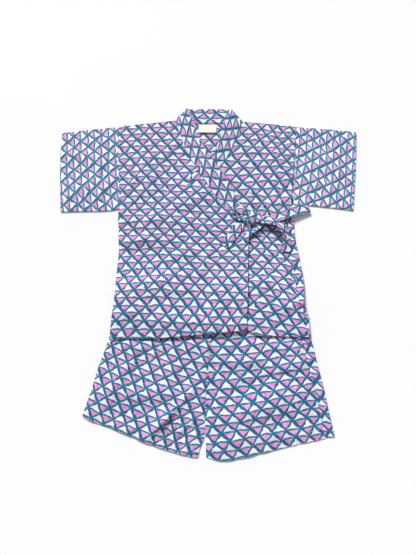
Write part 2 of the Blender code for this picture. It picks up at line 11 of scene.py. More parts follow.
import bmesh
import bpy
import numpy as np
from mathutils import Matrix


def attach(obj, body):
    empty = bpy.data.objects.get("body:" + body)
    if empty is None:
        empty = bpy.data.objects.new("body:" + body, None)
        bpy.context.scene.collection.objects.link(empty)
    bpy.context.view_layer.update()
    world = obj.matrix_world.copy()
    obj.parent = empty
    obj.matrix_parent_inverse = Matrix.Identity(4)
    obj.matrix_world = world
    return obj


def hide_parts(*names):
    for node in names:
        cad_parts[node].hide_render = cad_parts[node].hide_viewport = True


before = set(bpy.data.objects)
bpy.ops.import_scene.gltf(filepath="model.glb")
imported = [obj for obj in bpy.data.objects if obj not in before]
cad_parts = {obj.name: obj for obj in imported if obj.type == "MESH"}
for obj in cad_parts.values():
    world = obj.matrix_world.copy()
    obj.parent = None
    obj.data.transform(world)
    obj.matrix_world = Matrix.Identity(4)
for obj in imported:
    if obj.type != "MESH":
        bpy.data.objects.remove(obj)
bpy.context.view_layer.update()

# %% [markdown]
# ## The camera
# The photograph was taken from above, about 0.78 m over the cloth, tilted 15 degrees towards the
# hems. The even repeat of the print gave the tilt and the lens, so the camera is placed by those
# numbers and not by eye.

# %% Place the camera
MM = 0.001
PLAN_SHIFT = np.array([-2.75, -22.02, 0.0])
CAMERA_HEIGHT = 779.0
CAMERA_TILT = math.radians(15)
LENS_ON_36_MM = 28.0

camera_data = bpy.data.cameras.new("photo_camera")
camera_data.lens = LENS_ON_36_MM
camera_data.sensor_fit = "VERTICAL"
camera_data.sensor_height = 36.0
camera = bpy.data.objects.new("photo_camera", camera_data)
plan_place = np.array([0.0, -CAMERA_HEIGHT * math.tan(CAMERA_TILT), CAMERA_HEIGHT])
camera.location = (plan_place + PLAN_SHIFT) * MM
camera.rotation_euler = (CAMERA_TILT, 0.0, 0.0)
bpy.context.scene.collection.objects.link(camera)
bpy.context.scene.camera = camera
print("camera at", [round(value, 3) for value in camera.location])

# %% [markdown]
# ## The sizes of the garment
# A maker drafts a garment as outlines on paper. The tables below are those outlines in
# millimetres as the set lies on the table: x to the right, y towards the collar. They repeat the
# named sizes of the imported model, because the cloth has to lie where its solids are.

# %% Write down the outlines
LEFT_SIDE = ((-175.5, -113), (-174, -80), (-171, -43), (-170.5, 5), (-169, 54), (-171.5, 95),
             (-173.5, 125), (-171.5, 137.5))
# fold x, y, flap length, turn in degrees
RIGHT_WRAP = ((177.5, -112, 3, 0), (176.5, -98, 3, 0), (175, -72, 3, 0), (174.5, -64, 3.5, 60),
              (174.2, -56, 5, 120), (174.2, -48, 9, 180), (175, -34, 13, 180), (176.2, -20, 14, 180),
              (176.5, -6, 14, 180), (175.5, 8, 14, 180), (172.5, 32, 14.5, 180), (168.5, 56, 14, 180),
              (165.5, 79, 13, 180), (165, 110, 10, 180), (166, 143, 4, 180))
VENT_EDGE = ((180, -113), (177, -98), (173.5, -72), (170.5, -60))
ARMHOLE_LEFT = ((-171.5, 137.5), (-186, 320))
ARMHOLE_RIGHT = ((168, 147), (182, 320))
BACK_HEM = ((-176, -121), (-150, -113), (-100, -111), (0, -102), (75, -98), (120, -105), (178, -112))
OVER_HEM = ((-175.5, -113), (-149, -115), (-117, -115), (-68, -112.5), (-9, -107.5), (69, -100))
UNDER_HEM = ((-73, -104), (0, -101), (72, -101), (86, -108), (121, -110), (180, -113))
OVER_EDGE = ((69, -100), (73, -14), (77, 79))
UNDER_EDGE = ((-73, -104), (-75, -14), (-77, 79))
# neckband: seam x, y, free x, y, from the lower end to the shoulder fold
OVER_BAND = ((77, 79, 104, 97), (66, 96, 92, 115), (56, 113, 79, 131), (44, 130, 62, 147),
             (32, 143, 53, 161), (18, 158, 49, 178), (7, 174, 41, 196), (-5, 194, 26, 216),
             (-19, 217, 14, 236), (-30, 238, 2, 255), (-41, 261, -9, 275), (-49, 280, -16, 289),
             (-55, 297, -23, 304), (-61, 314, -29, 323), (-65, 326, -35, 341), (-67, 334, -42, 362))
UNDER_BAND = ((-77, 79, -104, 97), (-66, 96, -92, 115), (-56, 113, -79, 131), (-44, 130, -62, 147),
              (-32, 143, -53, 161), (-18, 158, -49, 178), (-7, 174, -41, 196), (5, 194, -26, 216),
              (19, 215, -13, 236), (31, 234, 1, 252), (42, 252, 14, 265), (50, 271, 22, 285),
              (58, 289, 29, 305), (64, 304, 33, 322), (68, 319, 38, 341), (69, 332, 46, 362))
BACK_BAND = ((-45, 331, -28, 362.5), (-22, 328, -13, 363), (0, 327, 2, 363), (23, 328, 17, 363),
             (46, 330, 31, 362.5))
LEFT_SLEEVE = {
    "underside": ((-171.5, 137.5), (-189, 134.5), (-240, 132.5), (-286.5, 131.5)),
    "top": ((-186, 320), (-240, 314), (-298, 305.5)),
    "cuff": ((-286.5, 131.5), (-291, 178), (-295.5, 223), (-298, 305.5)),
}
RIGHT_SLEEVE = {
    "underside": ((168, 147), (196, 145), (240, 140), (282, 134.5)),
    "top": ((182, 320), (240, 315), (303.5, 308)),
    "cuff": ((282, 134.5), (288, 178), (294.5, 223), (303.5, 308)),
}
SHORTS_WAIST = -90.0
SHORTS_LEFT = ((-216, -247), (-201, -195), (-195, -169), (-182, -129), (-176, -108), (-152, SHORTS_WAIST))
SHORTS_RIGHT = ((213.5, -279.5), (211.5, -267), (205, -226), (200, -195), (192, -157), (184, -118),
                (177, -104), (152, SHORTS_WAIST))
SHORTS_FLAP = 15.0
CENTRE_SEAM = ((-5, -269), (-5, -237), (-3, -203), (2, -152), (5, -116), (6, SHORTS_WAIST))
INSEAM_LEFT = ((-17, -314), (-13, -297), (-7.5, -285), (-5.5, -269))
INSEAM_RIGHT = ((-3.5, -312), (-3.5, -290), (-4.5, -269))
HEM_LEFT = ((-216, -247), (-202, -254.5), (-175, -263), (-139, -277), (-94, -293.5), (-47, -307.5),
            (-17, -314))
HEM_RIGHT = ((-3.5, -312), (23, -318), (52, -315), (90, -306), (128, -297), (165, -289),
             (213.5, -279.5))

# %% [markdown]
# ## Curves and patches
# The tables have only the points that matter. A smooth curve through them gives as many points as
# the cloth's mesh needs, evenly spaced, because cloth bends evenly. Four such curves bound a
# panel, and a Coons patch fills them with a grid that follows all four edges.

# %% Make curves and patches


def evenly(line, count):
    """Spread points evenly along a line of points."""
    line = np.array(line, float)
    lengths = np.concatenate(([0.0], np.cumsum(np.linalg.norm(np.diff(line, axis=0), axis=1))))
    places = np.linspace(0.0, lengths[-1], count)
    return np.stack([np.interp(places, lengths, line[:, axis]) for axis in range(line.shape[1])], axis=1)


def curve(points, count):
    """Smooth line through the points, as evenly spaced points."""
    points = np.array(points, float)
    lengths = np.concatenate(([0.0], np.cumsum(np.linalg.norm(np.diff(points, axis=0), axis=1))))
    slopes = np.gradient(points, lengths, axis=0)
    places = np.linspace(0.0, lengths[-1], 40 * len(points))
    span = np.clip(np.searchsorted(lengths, places, side="right") - 1, 0, len(points) - 2)
    width = (lengths[span + 1] - lengths[span])[:, None]
    share = (places - lengths[span])[:, None] / width
    line = ((1 + 2 * share) * (1 - share) ** 2 * points[span]
            + share ** 2 * (3 - 2 * share) * points[span + 1]
            + share * (1 - share) ** 2 * width * slopes[span]
            - share ** 2 * (1 - share) * width * slopes[span + 1])
    return evenly(line, count)


def joined(*lines):
    """Run lines into one, leaving out the repeated corners."""
    return np.concatenate([lines[0]] + [line[1:] for line in lines[1:]])


def patch(bottom, top, left, right):
    """Fill four edges with a grid of plan points; left and right run upwards, rows come first."""
    across = np.linspace(0.0, 1.0, len(bottom))[None, :, None]
    up = np.linspace(0.0, 1.0, len(left))[:, None, None]
    between_sides = (1 - across) * left[:, None] + across * right[:, None]
    between_ends = (1 - up) * bottom[None] + up * top[None]
    lower = (1 - across) * bottom[0] + across * bottom[-1]
    upper = (1 - across) * top[0] + across * top[-1]
    return between_sides + between_ends - (1 - up) * lower - up * upper


def smooth(value, start, end):
    """Ease from 0 at start to 1 at end."""
    share = np.clip((value - start) / (end - start), 0.0, 1.0)
    return share * share * (3 - 2 * share)


def steps_from(grid, axis, backwards=False):
    """Distance of each grid point from an edge, measured along the grid's own lines."""
    grid = np.flip(grid, axis) if backwards else grid
    steps = np.linalg.norm(np.diff(grid, axis=axis), axis=-1)
    start = np.zeros_like(np.take(steps, [0], axis=axis))
    distance = np.concatenate([start, np.cumsum(steps, axis=axis)], axis=axis)
    return np.flip(distance, axis) if backwards else distance


print("hem of the over front, mm:", round(float(steps_from(curve(OVER_HEM, 60), 0)[-1]), 1))

# %% [markdown]
# ## How high the cloth lies
# Laid-out panels lie on each other, so each panel's height is the pile below it. The top climbs
# over the waist of the shorts, and the over front climbs over the hidden part of the under front
# and its neckband. On that go the folds. A fold is a soft ridge, written as one line of a table
# with its middle, direction, half length, the width of its left and right flank and its height,
# and placed from the photograph. A narrow flank is steep, as where cloth is pushed over on
# itself. Small unevenness comes from a few seeded waves, folded so that they leave faint creases,
# as washed cotton does.

# %% Work out heights, folds and creases
LAYER = 1.2
PILE = 1.8
OVER_PILE = 3.6
BAND_STEP = 0.8
WAIST_RISE = 6.4
# the loose lower end of the neckband stands up in one ridge
BAND_END = ((90.5, 88, 33.7, 26, 7, 14, 6.0),)


def top_rise(plan):
    """Height the top gains where it lies over the waist of the shorts."""
    return WAIST_RISE * smooth(plan[..., 1], 15.0, -50.0)


def folds(plan, table):
    """Height added by a table of folds: middle x, y, degrees, half length, left and right flank, height."""
    height = np.zeros(plan.shape[:-1])
    for middle_x, middle_y, degrees, half_length, left_flank, right_flank, rise in table:
        turn = math.radians(degrees)
        aside_x = plan[..., 0] - middle_x
        aside_y = plan[..., 1] - middle_y
        lengthwise = aside_x * math.cos(turn) + aside_y * math.sin(turn)
        crosswise = aside_y * math.cos(turn) - aside_x * math.sin(turn)
        flank = np.where(crosswise > 0, left_flank, right_flank)
        height += rise * np.exp(-(lengthwise / half_length) ** 2 - (crosswise / flank) ** 2)
    return height


def over_front(plan):
    """How far the over front is lifted by what is hidden under it, and at the loose end of its band."""
    xs, ys = zip(*UNDER_EDGE, *[(row[2], row[3]) for row in UNDER_BAND])
    inside = plan[..., 0] - np.interp(plan[..., 1], ys, xs)
    on_front = smooth(inside, -34, -16)
    on_band = on_front * (1 - smooth(inside, 52, 75)) * smooth(plan[..., 1], 40, 62)
    return (OVER_PILE - PILE) * on_front + BAND_STEP * on_band + folds(plan, BAND_END)


def crinkle(plan, seed, size=34.0, height=0.55):
    """Slight unevenness of washed cotton with faint creases, about one rise per size mm."""
    random = np.random.default_rng(seed)
    layers = []
    for _ in range(2):
        total = np.zeros(plan.shape[:-1])
        for _ in range(7):
            angle = random.uniform(0, 2 * math.pi)
            length = size * random.uniform(0.7, 2.0)
            across = plan[..., 0] * math.cos(angle) + plan[..., 1] * math.sin(angle)
            total += np.sin(2 * math.pi * across / length + random.uniform(0, 2 * math.pi))
        layers.append(total / 7 ** 0.5)
    return height * (0.6 * layers[0] - np.abs(layers[1]) + 0.5)


def washed(plan, seed):
    """Broad unevenness with small puckers on it."""
    return crinkle(plan, seed) + crinkle(plan, seed + 100, 13.0, 0.2)


print("crinkle of a 100 mm square, mm:",
      np.round(np.ptp(washed(patch(*[curve(side, 30) for side in (
          ((0, 0), (100, 0)), ((0, 100), (100, 100)), ((0, 0), (0, 100)), ((100, 0), (100, 100)))]), 1)), 2))

# %% [markdown]
# ## Where the print lies
# The cloth is block printed with a net of lines: rows 14.2 mm apart, and two slanting families
# that cross on each row every 24 mm. On each panel some crossings were charted from the
# photograph: x and y in the plan, then the numbers of the rising and the falling line that meet
# there. A thin-plate spline carries those numbers smoothly to every point of the panel, so the
# print bends with the cloth just as it does on the real set. The result becomes the UV map, in
# metres of cloth.

# %% Chart the print
REPEAT = 24.0
ROW = 14.2

OVER_PINS = ((-165.4, -83.7, 2, -12), (-88.4, -84.8, 5, -9), (-14.9, -90.0, 8, -6), (52.1, -91.1, 11, -3),
             (-166.3, 12.8, -2, -9), (-85.9, 2.1, 2, -6), (-23.4, 12.8, 4, -3), (51.2, 13.1, 7, 0),
             (-154.7, 108.8, -5, -5), (-84.6, 109.3, -2, -2), (-34.3, 105.2, 0, 0), (27.0, 114.7, 2, 3),
             (-157.1, 217.9, -9, -1), (-121.9, 205.0, -7, 0), (-84.3, 217.3, -6, 2), (-47.5, 199.8, -4, 3),
             (-131.0, 302.4, -11, 3), (-105.3, 304.0, -10, 4), (-80.9, 304.6, -9, 5))
UNDER_PINS = ((80.6, 148.5, 2, -3), (105.0, 148.8, 3, -2), (135.4, 129.7, 5, -1), (43.1, 225.6, -2, -2),
              (97.4, 227.6, 0, 0), (154.4, 213.8, 3, 2), (96.0, 303.3, -3, 2), (132.1, 310.1, -2, 4),
              (175.0, 305.2, 0, 6), (88.6, -93.0, 12, -11), (116.9, -96.9, 13, -10), (157.7, -94.2, 14, -8),
              (101.9, -9.9, 9, -8), (127.1, -13.2, 10, -7), (151.1, -19.0, 11, -6), (111.3, 79.7, 6, -4),
              (133.9, 77.4, 7, -3), (155.9, 73.1, 8, -2))
BACK_PINS = ((-22.9, 266.4, 0, -2), (-9.9, 278.7, 0, -1), (14.8, 277.4, 1, 0), (-21.6, 292.5, -1, -1),
             (3.2, 291.1, 0, 0), (27.9, 289.8, 1, 1), (-20.2, 318.6, -2, 0), (29.2, 315.9, 0, 2))
LEFT_SLEEVE_PINS = ((-282.3, 145.4, 5, 1), (-243.6, 159.1, 3, 2), (-200.4, 148.3, 2, 4),
                    (-294.6, 220.5, 2, -2), (-239.5, 223.4, 0, 0), (-197.0, 213.9, -1, 2),
                    (-286.2, 283.7, -1, -4), (-244.9, 299.9, -3, -3), (-202.9, 291.6, -4, -1))
RIGHT_SLEEVE_PINS = ((205.1, 153.0, -4, -3), (239.2, 165.8, -2, -3), (280.9, 167.2, 0, -4),
                     (205.3, 215.9, -2, 0), (235.6, 231.5, 0, 0), (275.4, 231.6, 2, -1),
                     (214.3, 289.7, 1, 3), (255.8, 291.0, 3, 2), (282.7, 286.0, 4, 1))
LEFT_LEG_PINS = ((-74.4, -282.1, 8, 4), (-54.8, -287.4, 9, 5), (-35.5, -291.5, 10, 6), (-15.7, -279.7, 10, 7),
                 (-184.0, -241.7, 3, -1), (-131.3, -234.2, 4, 2), (-91.8, -233.6, 5, 4),
                 (-28.9, -238.0, 7, 7), (-188.3, -179.2, 0, 0), (-131.2, -190.9, 2, 3), (-75.1, -183.3, 3, 6),
                 (-8.9, -187.6, 5, 9), (-171.8, -127.8, -2, 2), (-112.9, -138.6, 0, 5),
                 (-58.9, -130.4, 1, 8), (-12.8, -143.7, 3, 10))
RIGHT_LEG_PINS = ((12.1, -290.9, 3, -4), (36.4, -287.3, 4, -3), (60.7, -282.9, 5, -2), (98.7, -289.4, 7, -1),
                  (16.2, -246.7, 2, -2), (66.5, -239.7, 4, 0), (129.9, -241.9, 7, 2), (178.5, -234.7, 9, 4),
                  (4.8, -187.9, 0, 0), (58.1, -185.0, 2, 2), (109.2, -177.6, 4, 4), (161.6, -196.1, 7, 5),
                  (12.3, -142.5, -1, 2), (66.8, -141.7, 1, 4), (118.6, -135.5, 3, 6), (168.3, -128.5, 5, 8))


def spline_pull(distance):
    """The thin-plate spline's own curve."""
    return distance ** 2 * np.log(distance + 1e-9)


def on_cloth(plan, pins):
    """Place on the cloth in mm, along and up the print's rows, of each plan point."""
    pins = np.array(pins, float)
    places, lines = pins[:, :2] / 100, pins[:, 2:]
    count = len(pins)
    flat = np.concatenate([np.ones((count, 1)), places], axis=1)
    pull = spline_pull(np.linalg.norm(places[:, None] - places[None], axis=-1)) + 0.02 * np.eye(count)
    system = np.block([[pull, flat], [flat.T, np.zeros((3, 3))]])
    weights = np.linalg.solve(system, np.concatenate([lines, np.zeros((3, 2))]))
    spots = plan.reshape(-1, 2) / 100
    reach = spline_pull(np.linalg.norm(spots[:, None] - places[None], axis=-1))
    level = np.concatenate([np.ones((len(spots), 1)), spots], axis=1)
    rising, falling = (reach @ weights[:count] + level @ weights[count:]).T
    cloth = np.stack([(rising + falling) / 2 * REPEAT, (falling - rising) * ROW], axis=-1)
    return cloth.reshape(plan.shape)


def turned_cloth(plan, degrees):
    """Place on the cloth of a hidden panel whose rows are turned by some degrees."""
    turn = math.radians(degrees)
    return np.stack([plan[..., 0] * math.cos(turn) + plan[..., 1] * math.sin(turn),
                     plan[..., 1] * math.cos(turn) - plan[..., 0] * math.sin(turn)], axis=-1)


print("cloth at the middle of the over front:", np.round(on_cloth(np.array([[-50.0, 50.0]]), OVER_PINS), 1))

# %% [markdown]
# ## Colours and nodes
# A dye's colour is read off the photograph as an sRGB hex value. Blender calculates in linear
# light, so one function turns hex to linear. A second small function adds any node, which keeps
# each material a readable list of its steps.

# %% Make the helpers for materials


def linear(hex_colour):
    """Turn an sRGB hex colour into linear red, green, blue and alpha."""
    parts = [int(hex_colour[start:start + 2], 16) / 255 for start in (1, 3, 5)]
    return (*[part / 12.92 if part <= 0.04045 else ((part + 0.055) / 1.055) ** 2.4 for part in parts], 1.0)


def add(tree, kind, inputs, **settings):
    """Add a node, set its properties and fill its inputs with values, sockets or nodes."""
    made = tree.nodes.new(kind)
    for name, value in settings.items():
        setattr(made, name, value)
    for socket, value in inputs.items():
        if isinstance(value, bpy.types.Node):
            value = value.outputs[0]
        if isinstance(value, bpy.types.NodeSocket):
            tree.links.new(value, made.inputs[socket])
        else:
            made.inputs[socket].default_value = value
    return made


MATH = "ShaderNodeMath"
MIX = "ShaderNodeMix"
RANGE = "ShaderNodeMapRange"
NOISE = "ShaderNodeTexNoise"
print("white dye, linear:", [round(part, 3) for part in linear("#F7F3F8")])

# %% [markdown]
# ## The printed cotton
# The cloth is plain-woven cotton lawn, hand-block printed in three colours: pink fills every
# triangle that points down, a navy block overprints one edge of the pink, and a teal block draws
# the lines. Carved wooden blocks give lines that wobble and swell a little, and dye that lies
# unevenly. The pattern could be an image, but here it is worked out from the UV map: each point
# knows how far it is from the nearest line of each family. Noise moves the lines by a millimetre
# or two. The sleeves' print is painted paler: painted light, standing in for the brighter light
# on the sleeves. A fine weave lifts the surface; its threads are drawn 0.5 mm apart, a little
# coarser than the real 0.3 mm, so that they show at all.
# Cotton is dull, with a faint fuzzy sheen.

# %% Print the cotton
SLANT_SPACING = REPEAT * math.sin(math.atan(ROW / (REPEAT / 2)))
LINE_HALF_WIDTH = 1.95
STROKE_HALF_WIDTH = 1.6
STROKE_ARCH = 1.2
STROKE_DROP = 1.1
NAVY_REACH = 2.8
THREAD = 0.5
DYES = {"white": "#F4F1F3", "pink": "#F4ABE2", "deep_pink": "#DA80CA", "line": "#1587A5",
        "deep_line": "#0A6081", "stroke": "#38A0B8", "deep_stroke": "#127592", "navy": "#2C4889",
        "crossing": "#0B7593"}
# painted light: the sleeves' dyes are made lighter to stand in for the brighter light on the sleeves
SLEEVE_PAINTED_LIGHT_DYES = {"white": "#FDFBFE", "pink": "#FBB8EC", "deep_pink": "#E492D6", "line": "#2890AB",
             "deep_line": "#146B89", "stroke": "#52AEC2", "deep_stroke": "#26829D", "navy": "#3A5798",
             "crossing": "#1F87A3"}


def printed_cotton(name, navy_side, dyes):
    """Hand-block printed cotton lawn; navy_side is the edge of the pink that is overprinted."""
    dye = {part: linear(colour) for part, colour in dyes.items()}
    material = bpy.data.materials.new(name)
    material.use_nodes = True
    tree = material.node_tree
    shader = tree.nodes["Principled BSDF"]
    shader.inputs["Roughness"].default_value = 0.85
    shader.inputs["Sheen Weight"].default_value = 0.12
    shader.inputs["Sheen Roughness"].default_value = 0.5
    shader.inputs["IOR"].default_value = 1.46

    cloth = add(tree, "ShaderNodeUVMap", {}, uv_map="cloth")
    in_mm = add(tree, "ShaderNodeVectorMath", {0: cloth, "Scale": 1000.0}, operation="SCALE")
    place = in_mm
    for scale, reach in ((0.11, 3.8), (0.035, 7.0)):
        hand = add(tree, NOISE, {"Vector": in_mm, "Scale": scale, "Detail": 1.0})
        shake = add(tree, "ShaderNodeVectorMath", {0: hand.outputs["Color"], 1: (0.5, 0.5, 0.5)},
                    operation="SUBTRACT")
        shake = add(tree, "ShaderNodeVectorMath", {0: shake, "Scale": reach}, operation="SCALE")
        place = add(tree, "ShaderNodeVectorMath", {0: place, 1: shake}, operation="ADD")
    place = add(tree, "ShaderNodeSeparateXYZ", {0: place})
    uneven = add(tree, NOISE, {"Vector": in_mm, "Scale": 0.14, "Detail": 2.0})
    uneven = add(tree, "ShaderNodeSeparateColor", {0: uneven.outputs["Color"]})
    swells = [add(tree, RANGE, {"Value": uneven.outputs[part], 1: 0.3, 2: 0.7, 3: -0.75, 4: 0.75})
              for part in ("Red", "Green")]

    along = add(tree, MATH, {0: place.outputs["X"], 1: REPEAT}, operation="DIVIDE")
    level = add(tree, MATH, {0: place.outputs["Y"], 1: ROW}, operation="DIVIDE")
    half_level = add(tree, MATH, {0: level, 1: 0.5}, operation="MULTIPLY")
    rising = add(tree, MATH, {0: along, 1: half_level}, operation="SUBTRACT")
    falling = add(tree, MATH, {0: along, 1: half_level}, operation="ADD")

    lines = []
    for family, swell in zip((rising, falling), swells):
        away = add(tree, MATH, {0: family, 1: 0.5}, operation="PINGPONG")
        away = add(tree, MATH, {0: away, 1: SLANT_SPACING, 2: swell}, operation="MULTIPLY_ADD")
        lines.append(add(tree, RANGE, {"Value": away, 1: LINE_HALF_WIDTH - 0.25, 2: LINE_HALF_WIDTH + 0.25,
                                       3: 1.0, 4: 0.0}))
    slanting = add(tree, MATH, {0: lines[0], 1: lines[1]}, operation="MAXIMUM")
    crossing = add(tree, MATH, {0: lines[0], 1: lines[1]}, operation="MULTIPLY")

    above = add(tree, MATH, {0: level, 1: 0.5}, operation="ADD")
    above = add(tree, MATH, {0: above}, operation="FRACT")
    above = add(tree, MATH, {0: above, 1: 0.5}, operation="SUBTRACT")
    between = add(tree, MATH, {0: above, 1: 0.5, 2: rising}, operation="MULTIPLY_ADD")
    between = add(tree, MATH, {0: between}, operation="FRACT")
    from_middle = add(tree, MATH, {0: between, 1: 2.0, 2: -1.0}, operation="MULTIPLY_ADD")
    squared = add(tree, MATH, {0: from_middle, 1: from_middle}, operation="MULTIPLY")
    bulge = add(tree, MATH, {0: 1.0, 1: squared}, operation="SUBTRACT")
    arch = add(tree, MATH, {0: bulge, 1: -STROKE_ARCH, 2: STROKE_DROP}, operation="MULTIPLY_ADD")
    off_stroke = add(tree, MATH, {0: above, 1: ROW, 2: arch}, operation="MULTIPLY_ADD")
    off_stroke = add(tree, MATH, {0: off_stroke}, operation="ABSOLUTE")
    thickness = add(tree, RANGE, {"Value": bulge, 1: 0.1, 2: 0.75, 3: 0.5, 4: STROKE_HALF_WIDTH})
    thickness = add(tree, MATH, {0: swells[0], 1: 0.4, 2: thickness}, operation="MULTIPLY_ADD")
    off_stroke = add(tree, MATH, {0: off_stroke, 1: thickness}, operation="SUBTRACT")
    stroke = add(tree, RANGE, {"Value": off_stroke, 1: -0.3, 2: 0.3, 3: 1.0, 4: 0.0})

    rising_part = add(tree, MATH, {0: rising}, operation="FRACT")
    level_part = add(tree, MATH, {0: level}, operation="FRACT")
    corner = add(tree, MATH, {0: rising_part, 1: level_part}, operation="ADD")
    pink = add(tree, RANGE, {"Value": corner, 1: 0.99, 2: 1.01, 3: 0.0, 4: 1.0})
    if navy_side == "left":
        edge = add(tree, MATH, {0: corner, 1: 1.0}, operation="SUBTRACT")
    else:
        edge = add(tree, MATH, {0: 1.0, 1: rising_part}, operation="SUBTRACT")
    edge = add(tree, MATH, {0: edge, 1: SLANT_SPACING, 2: swells[1]}, operation="MULTIPLY_ADD")
    navy = add(tree, RANGE, {"Value": edge, 1: NAVY_REACH - 0.5, 2: NAVY_REACH + 0.4, 3: 0.9, 4: 0.0})
    navy = add(tree, MATH, {0: navy, 1: pink}, operation="MULTIPLY")

    mottle = add(tree, NOISE, {"Vector": in_mm, "Scale": 0.09, "Detail": 4.0, "Roughness": 0.6})
    mottle = add(tree, RANGE, {"Value": mottle, 1: 0.38, 2: 0.62, 3: 0.0, 4: 1.0})
    pink_dye = add(tree, MIX, {0: mottle, 6: dye["pink"], 7: dye["deep_pink"]}, data_type="RGBA")
    colour = add(tree, MIX, {0: pink, 6: dye["white"], 7: pink_dye.outputs[2]}, data_type="RGBA")
    stroke_dye = add(tree, MIX, {0: bulge, 6: dye["stroke"], 7: dye["deep_stroke"]}, data_type="RGBA")
    colour = add(tree, MIX, {0: stroke, 6: colour.outputs[2], 7: stroke_dye.outputs[2]}, data_type="RGBA")
    line_dye = add(tree, MIX, {0: mottle, 6: dye["line"], 7: dye["deep_line"]}, data_type="RGBA")
    colour = add(tree, MIX, {0: slanting, 6: colour.outputs[2], 7: line_dye.outputs[2]}, data_type="RGBA")
    colour = add(tree, MIX, {0: navy, 6: colour.outputs[2], 7: dye["navy"]}, data_type="RGBA")
    colour = add(tree, MIX, {0: crossing, 6: colour.outputs[2], 7: dye["crossing"]}, data_type="RGBA")
    tree.links.new(colour.outputs[2], shader.inputs["Base Color"])

    apart = add(tree, "ShaderNodeSeparateXYZ", {0: in_mm})
    threads = []
    for axis in ("X", "Y"):
        turn = add(tree, MATH, {0: apart.outputs[axis], 1: 2 * math.pi / THREAD}, operation="MULTIPLY")
        threads.append(add(tree, MATH, {0: turn}, operation="SINE"))
    weave = add(tree, MATH, {0: threads[0], 1: threads[1]}, operation="MULTIPLY")
    slub = add(tree, NOISE, {"Vector": in_mm, "Scale": 0.5, "Detail": 3.0})
    weave = add(tree, MATH, {0: slub, 1: 3.0, 2: weave}, operation="MULTIPLY_ADD")
    bump = add(tree, "ShaderNodeBump", {"Strength": 0.5, "Distance": 0.00006, "Height": weave})
    tree.links.new(bump.outputs[0], shader.inputs["Normal"])
    return material


left_print = printed_cotton("block_printed_cotton", "left", DYES)
right_print = printed_cotton("block_printed_cotton_other_way", "right", DYES)
# the sleeves get the lighter dyes, painted light for the brighter light that falls on them
sleeve_print_painted_light = printed_cotton("block_printed_cotton_painted_light", "left", SLEEVE_PAINTED_LIGHT_DYES)
print("slanting lines are", round(SLANT_SPACING, 2), "mm apart")

# %% [markdown]
# ## A shell of cloth
# Cloth is a sheet with two faces and a thin rim. Solidify could thicken a flat grid, but then
# a hem, which is three layers, would be as thin as the rest. So the shell is made from a grid of
# middle points, the way out at each point and a thickness that may change from point to point.

# %% Make a closed shell
CLOTH = 0.7
HEM_EXTRA = 0.6
TOP_HEM = 14
FRONT_HEM = 12
CUFF_HEM = 16
LEG_HEM = 20
# the hem of the top stands highest a little left of the middle
HEM_HIGHEST = -12.0
pieces = {}


def shell(name, points, outward, cloth, thickness, material, ring=False, inner_cloth=None):
    """Closed shell round a grid of middle points in mm, with its places on the cloth as UV map.

    Gives back the points of its outer face."""
    inner_cloth = cloth if inner_cloth is None else inner_cloth
    rows, columns = points.shape[:2]
    half = np.broadcast_to(np.asarray(thickness, float), (rows, columns))[..., None] / 2
    outer, inner = points + outward * half, points - outward * half
    spots = np.concatenate([outer.reshape(-1, 3), inner.reshape(-1, 3)])
    row, column = np.mgrid[0:rows - 1, 0:columns if ring else columns - 1]
    row, column = row.ravel(), column.ravel()
    beside = (column + 1) % columns
    near, far = row * columns, (row + 1) * columns
    skin = np.stack([near + column, near + beside, far + beside, far + column], axis=1)
    count = rows * columns
    ends = [(near_end * columns + np.arange(columns if ring else columns - 1),
             near_end * columns + (np.arange(columns if ring else columns - 1) + 1) % columns)
            for near_end in (0, rows - 1)]
    first = np.stack([ends[0][1], ends[0][0], ends[0][0] + count, ends[0][1] + count], axis=1)
    last = np.stack([ends[1][0], ends[1][1], ends[1][1] + count, ends[1][0] + count], axis=1)
    faces = [skin, skin[:, ::-1] + count, first, last]
    if not ring:
        lines = np.arange(rows - 1) * columns
        faces.append(np.stack([lines, lines + columns, lines + columns + count, lines + count], axis=1))
        lines = lines + columns - 1
        faces.append(np.stack([lines + columns, lines, lines + count, lines + columns + count], axis=1))
    faces = np.concatenate(faces)
    mesh = bpy.data.meshes.new(name)
    mesh.from_pydata(((spots + PLAN_SHIFT) * MM).tolist(), [], faces.tolist())
    sides = [side[:, :columns].reshape(-1, 2) for side in (cloth, inner_cloth)]
    places = np.concatenate(sides)[faces]
    if ring:
        closing = np.tile(column == columns - 1, 2)
        closing = np.concatenate([closing, np.zeros(len(faces) - len(closing), bool)])
        beyond = np.tile(cloth[:, columns], (2, 1))
        for corner in range(4):
            wrapped = closing & (faces[:, corner] % columns == 0)
            places[wrapped, corner] = beyond[faces[wrapped, corner] // columns]
    layer = mesh.uv_layers.new(name="cloth")
    layer.data.foreach_set("uv", (places * MM).astype(np.float32).ravel())
    tidy = bmesh.new()
    tidy.from_mesh(mesh)
    bmesh.ops.recalc_face_normals(tidy, faces=tidy.faces)
    tidy.to_mesh(mesh)
    tidy.free()
    mesh.shade_smooth()
    mesh.set_sharp_from_angle(angle=math.radians(55))
    mesh.materials.append(material)
    piece = bpy.data.objects.new(name, mesh)
    bpy.context.scene.collection.objects.link(piece)
    pieces[name] = piece
    print(name, "mesh faces:", len(faces))
    return outer


def standing(plan, height):
    """Middle points and upward directions of a panel that lies at some height."""
    points = np.concatenate([plan, height[..., None]], axis=-1)
    outward = np.zeros_like(points)
    outward[..., 2] = 1.0
    return points, outward


def hem(distance, width):
    """Extra thickness of a hem of some width, softly ending at its stitches."""
    return HEM_EXTRA * (1 - smooth(distance, width - 2.5, width + 1.0))


def dip(distance, depth, reach):
    """Height lost towards a seam or a free edge."""
    return depth * np.exp(-(distance / reach) ** 2)


def hem_sag(plan, distance):
    """Height lost at the hem of the top, more towards its ends."""
    return (0.4 + 1.8 * smooth(np.abs(plan[..., 0] - HEM_HIGHEST), 60, 130)) * np.exp(-(distance / 9) ** 2)


stitched_lines = []
print("cloth", CLOTH, "mm, at a hem", round(CLOTH + HEM_EXTRA, 1), "mm")

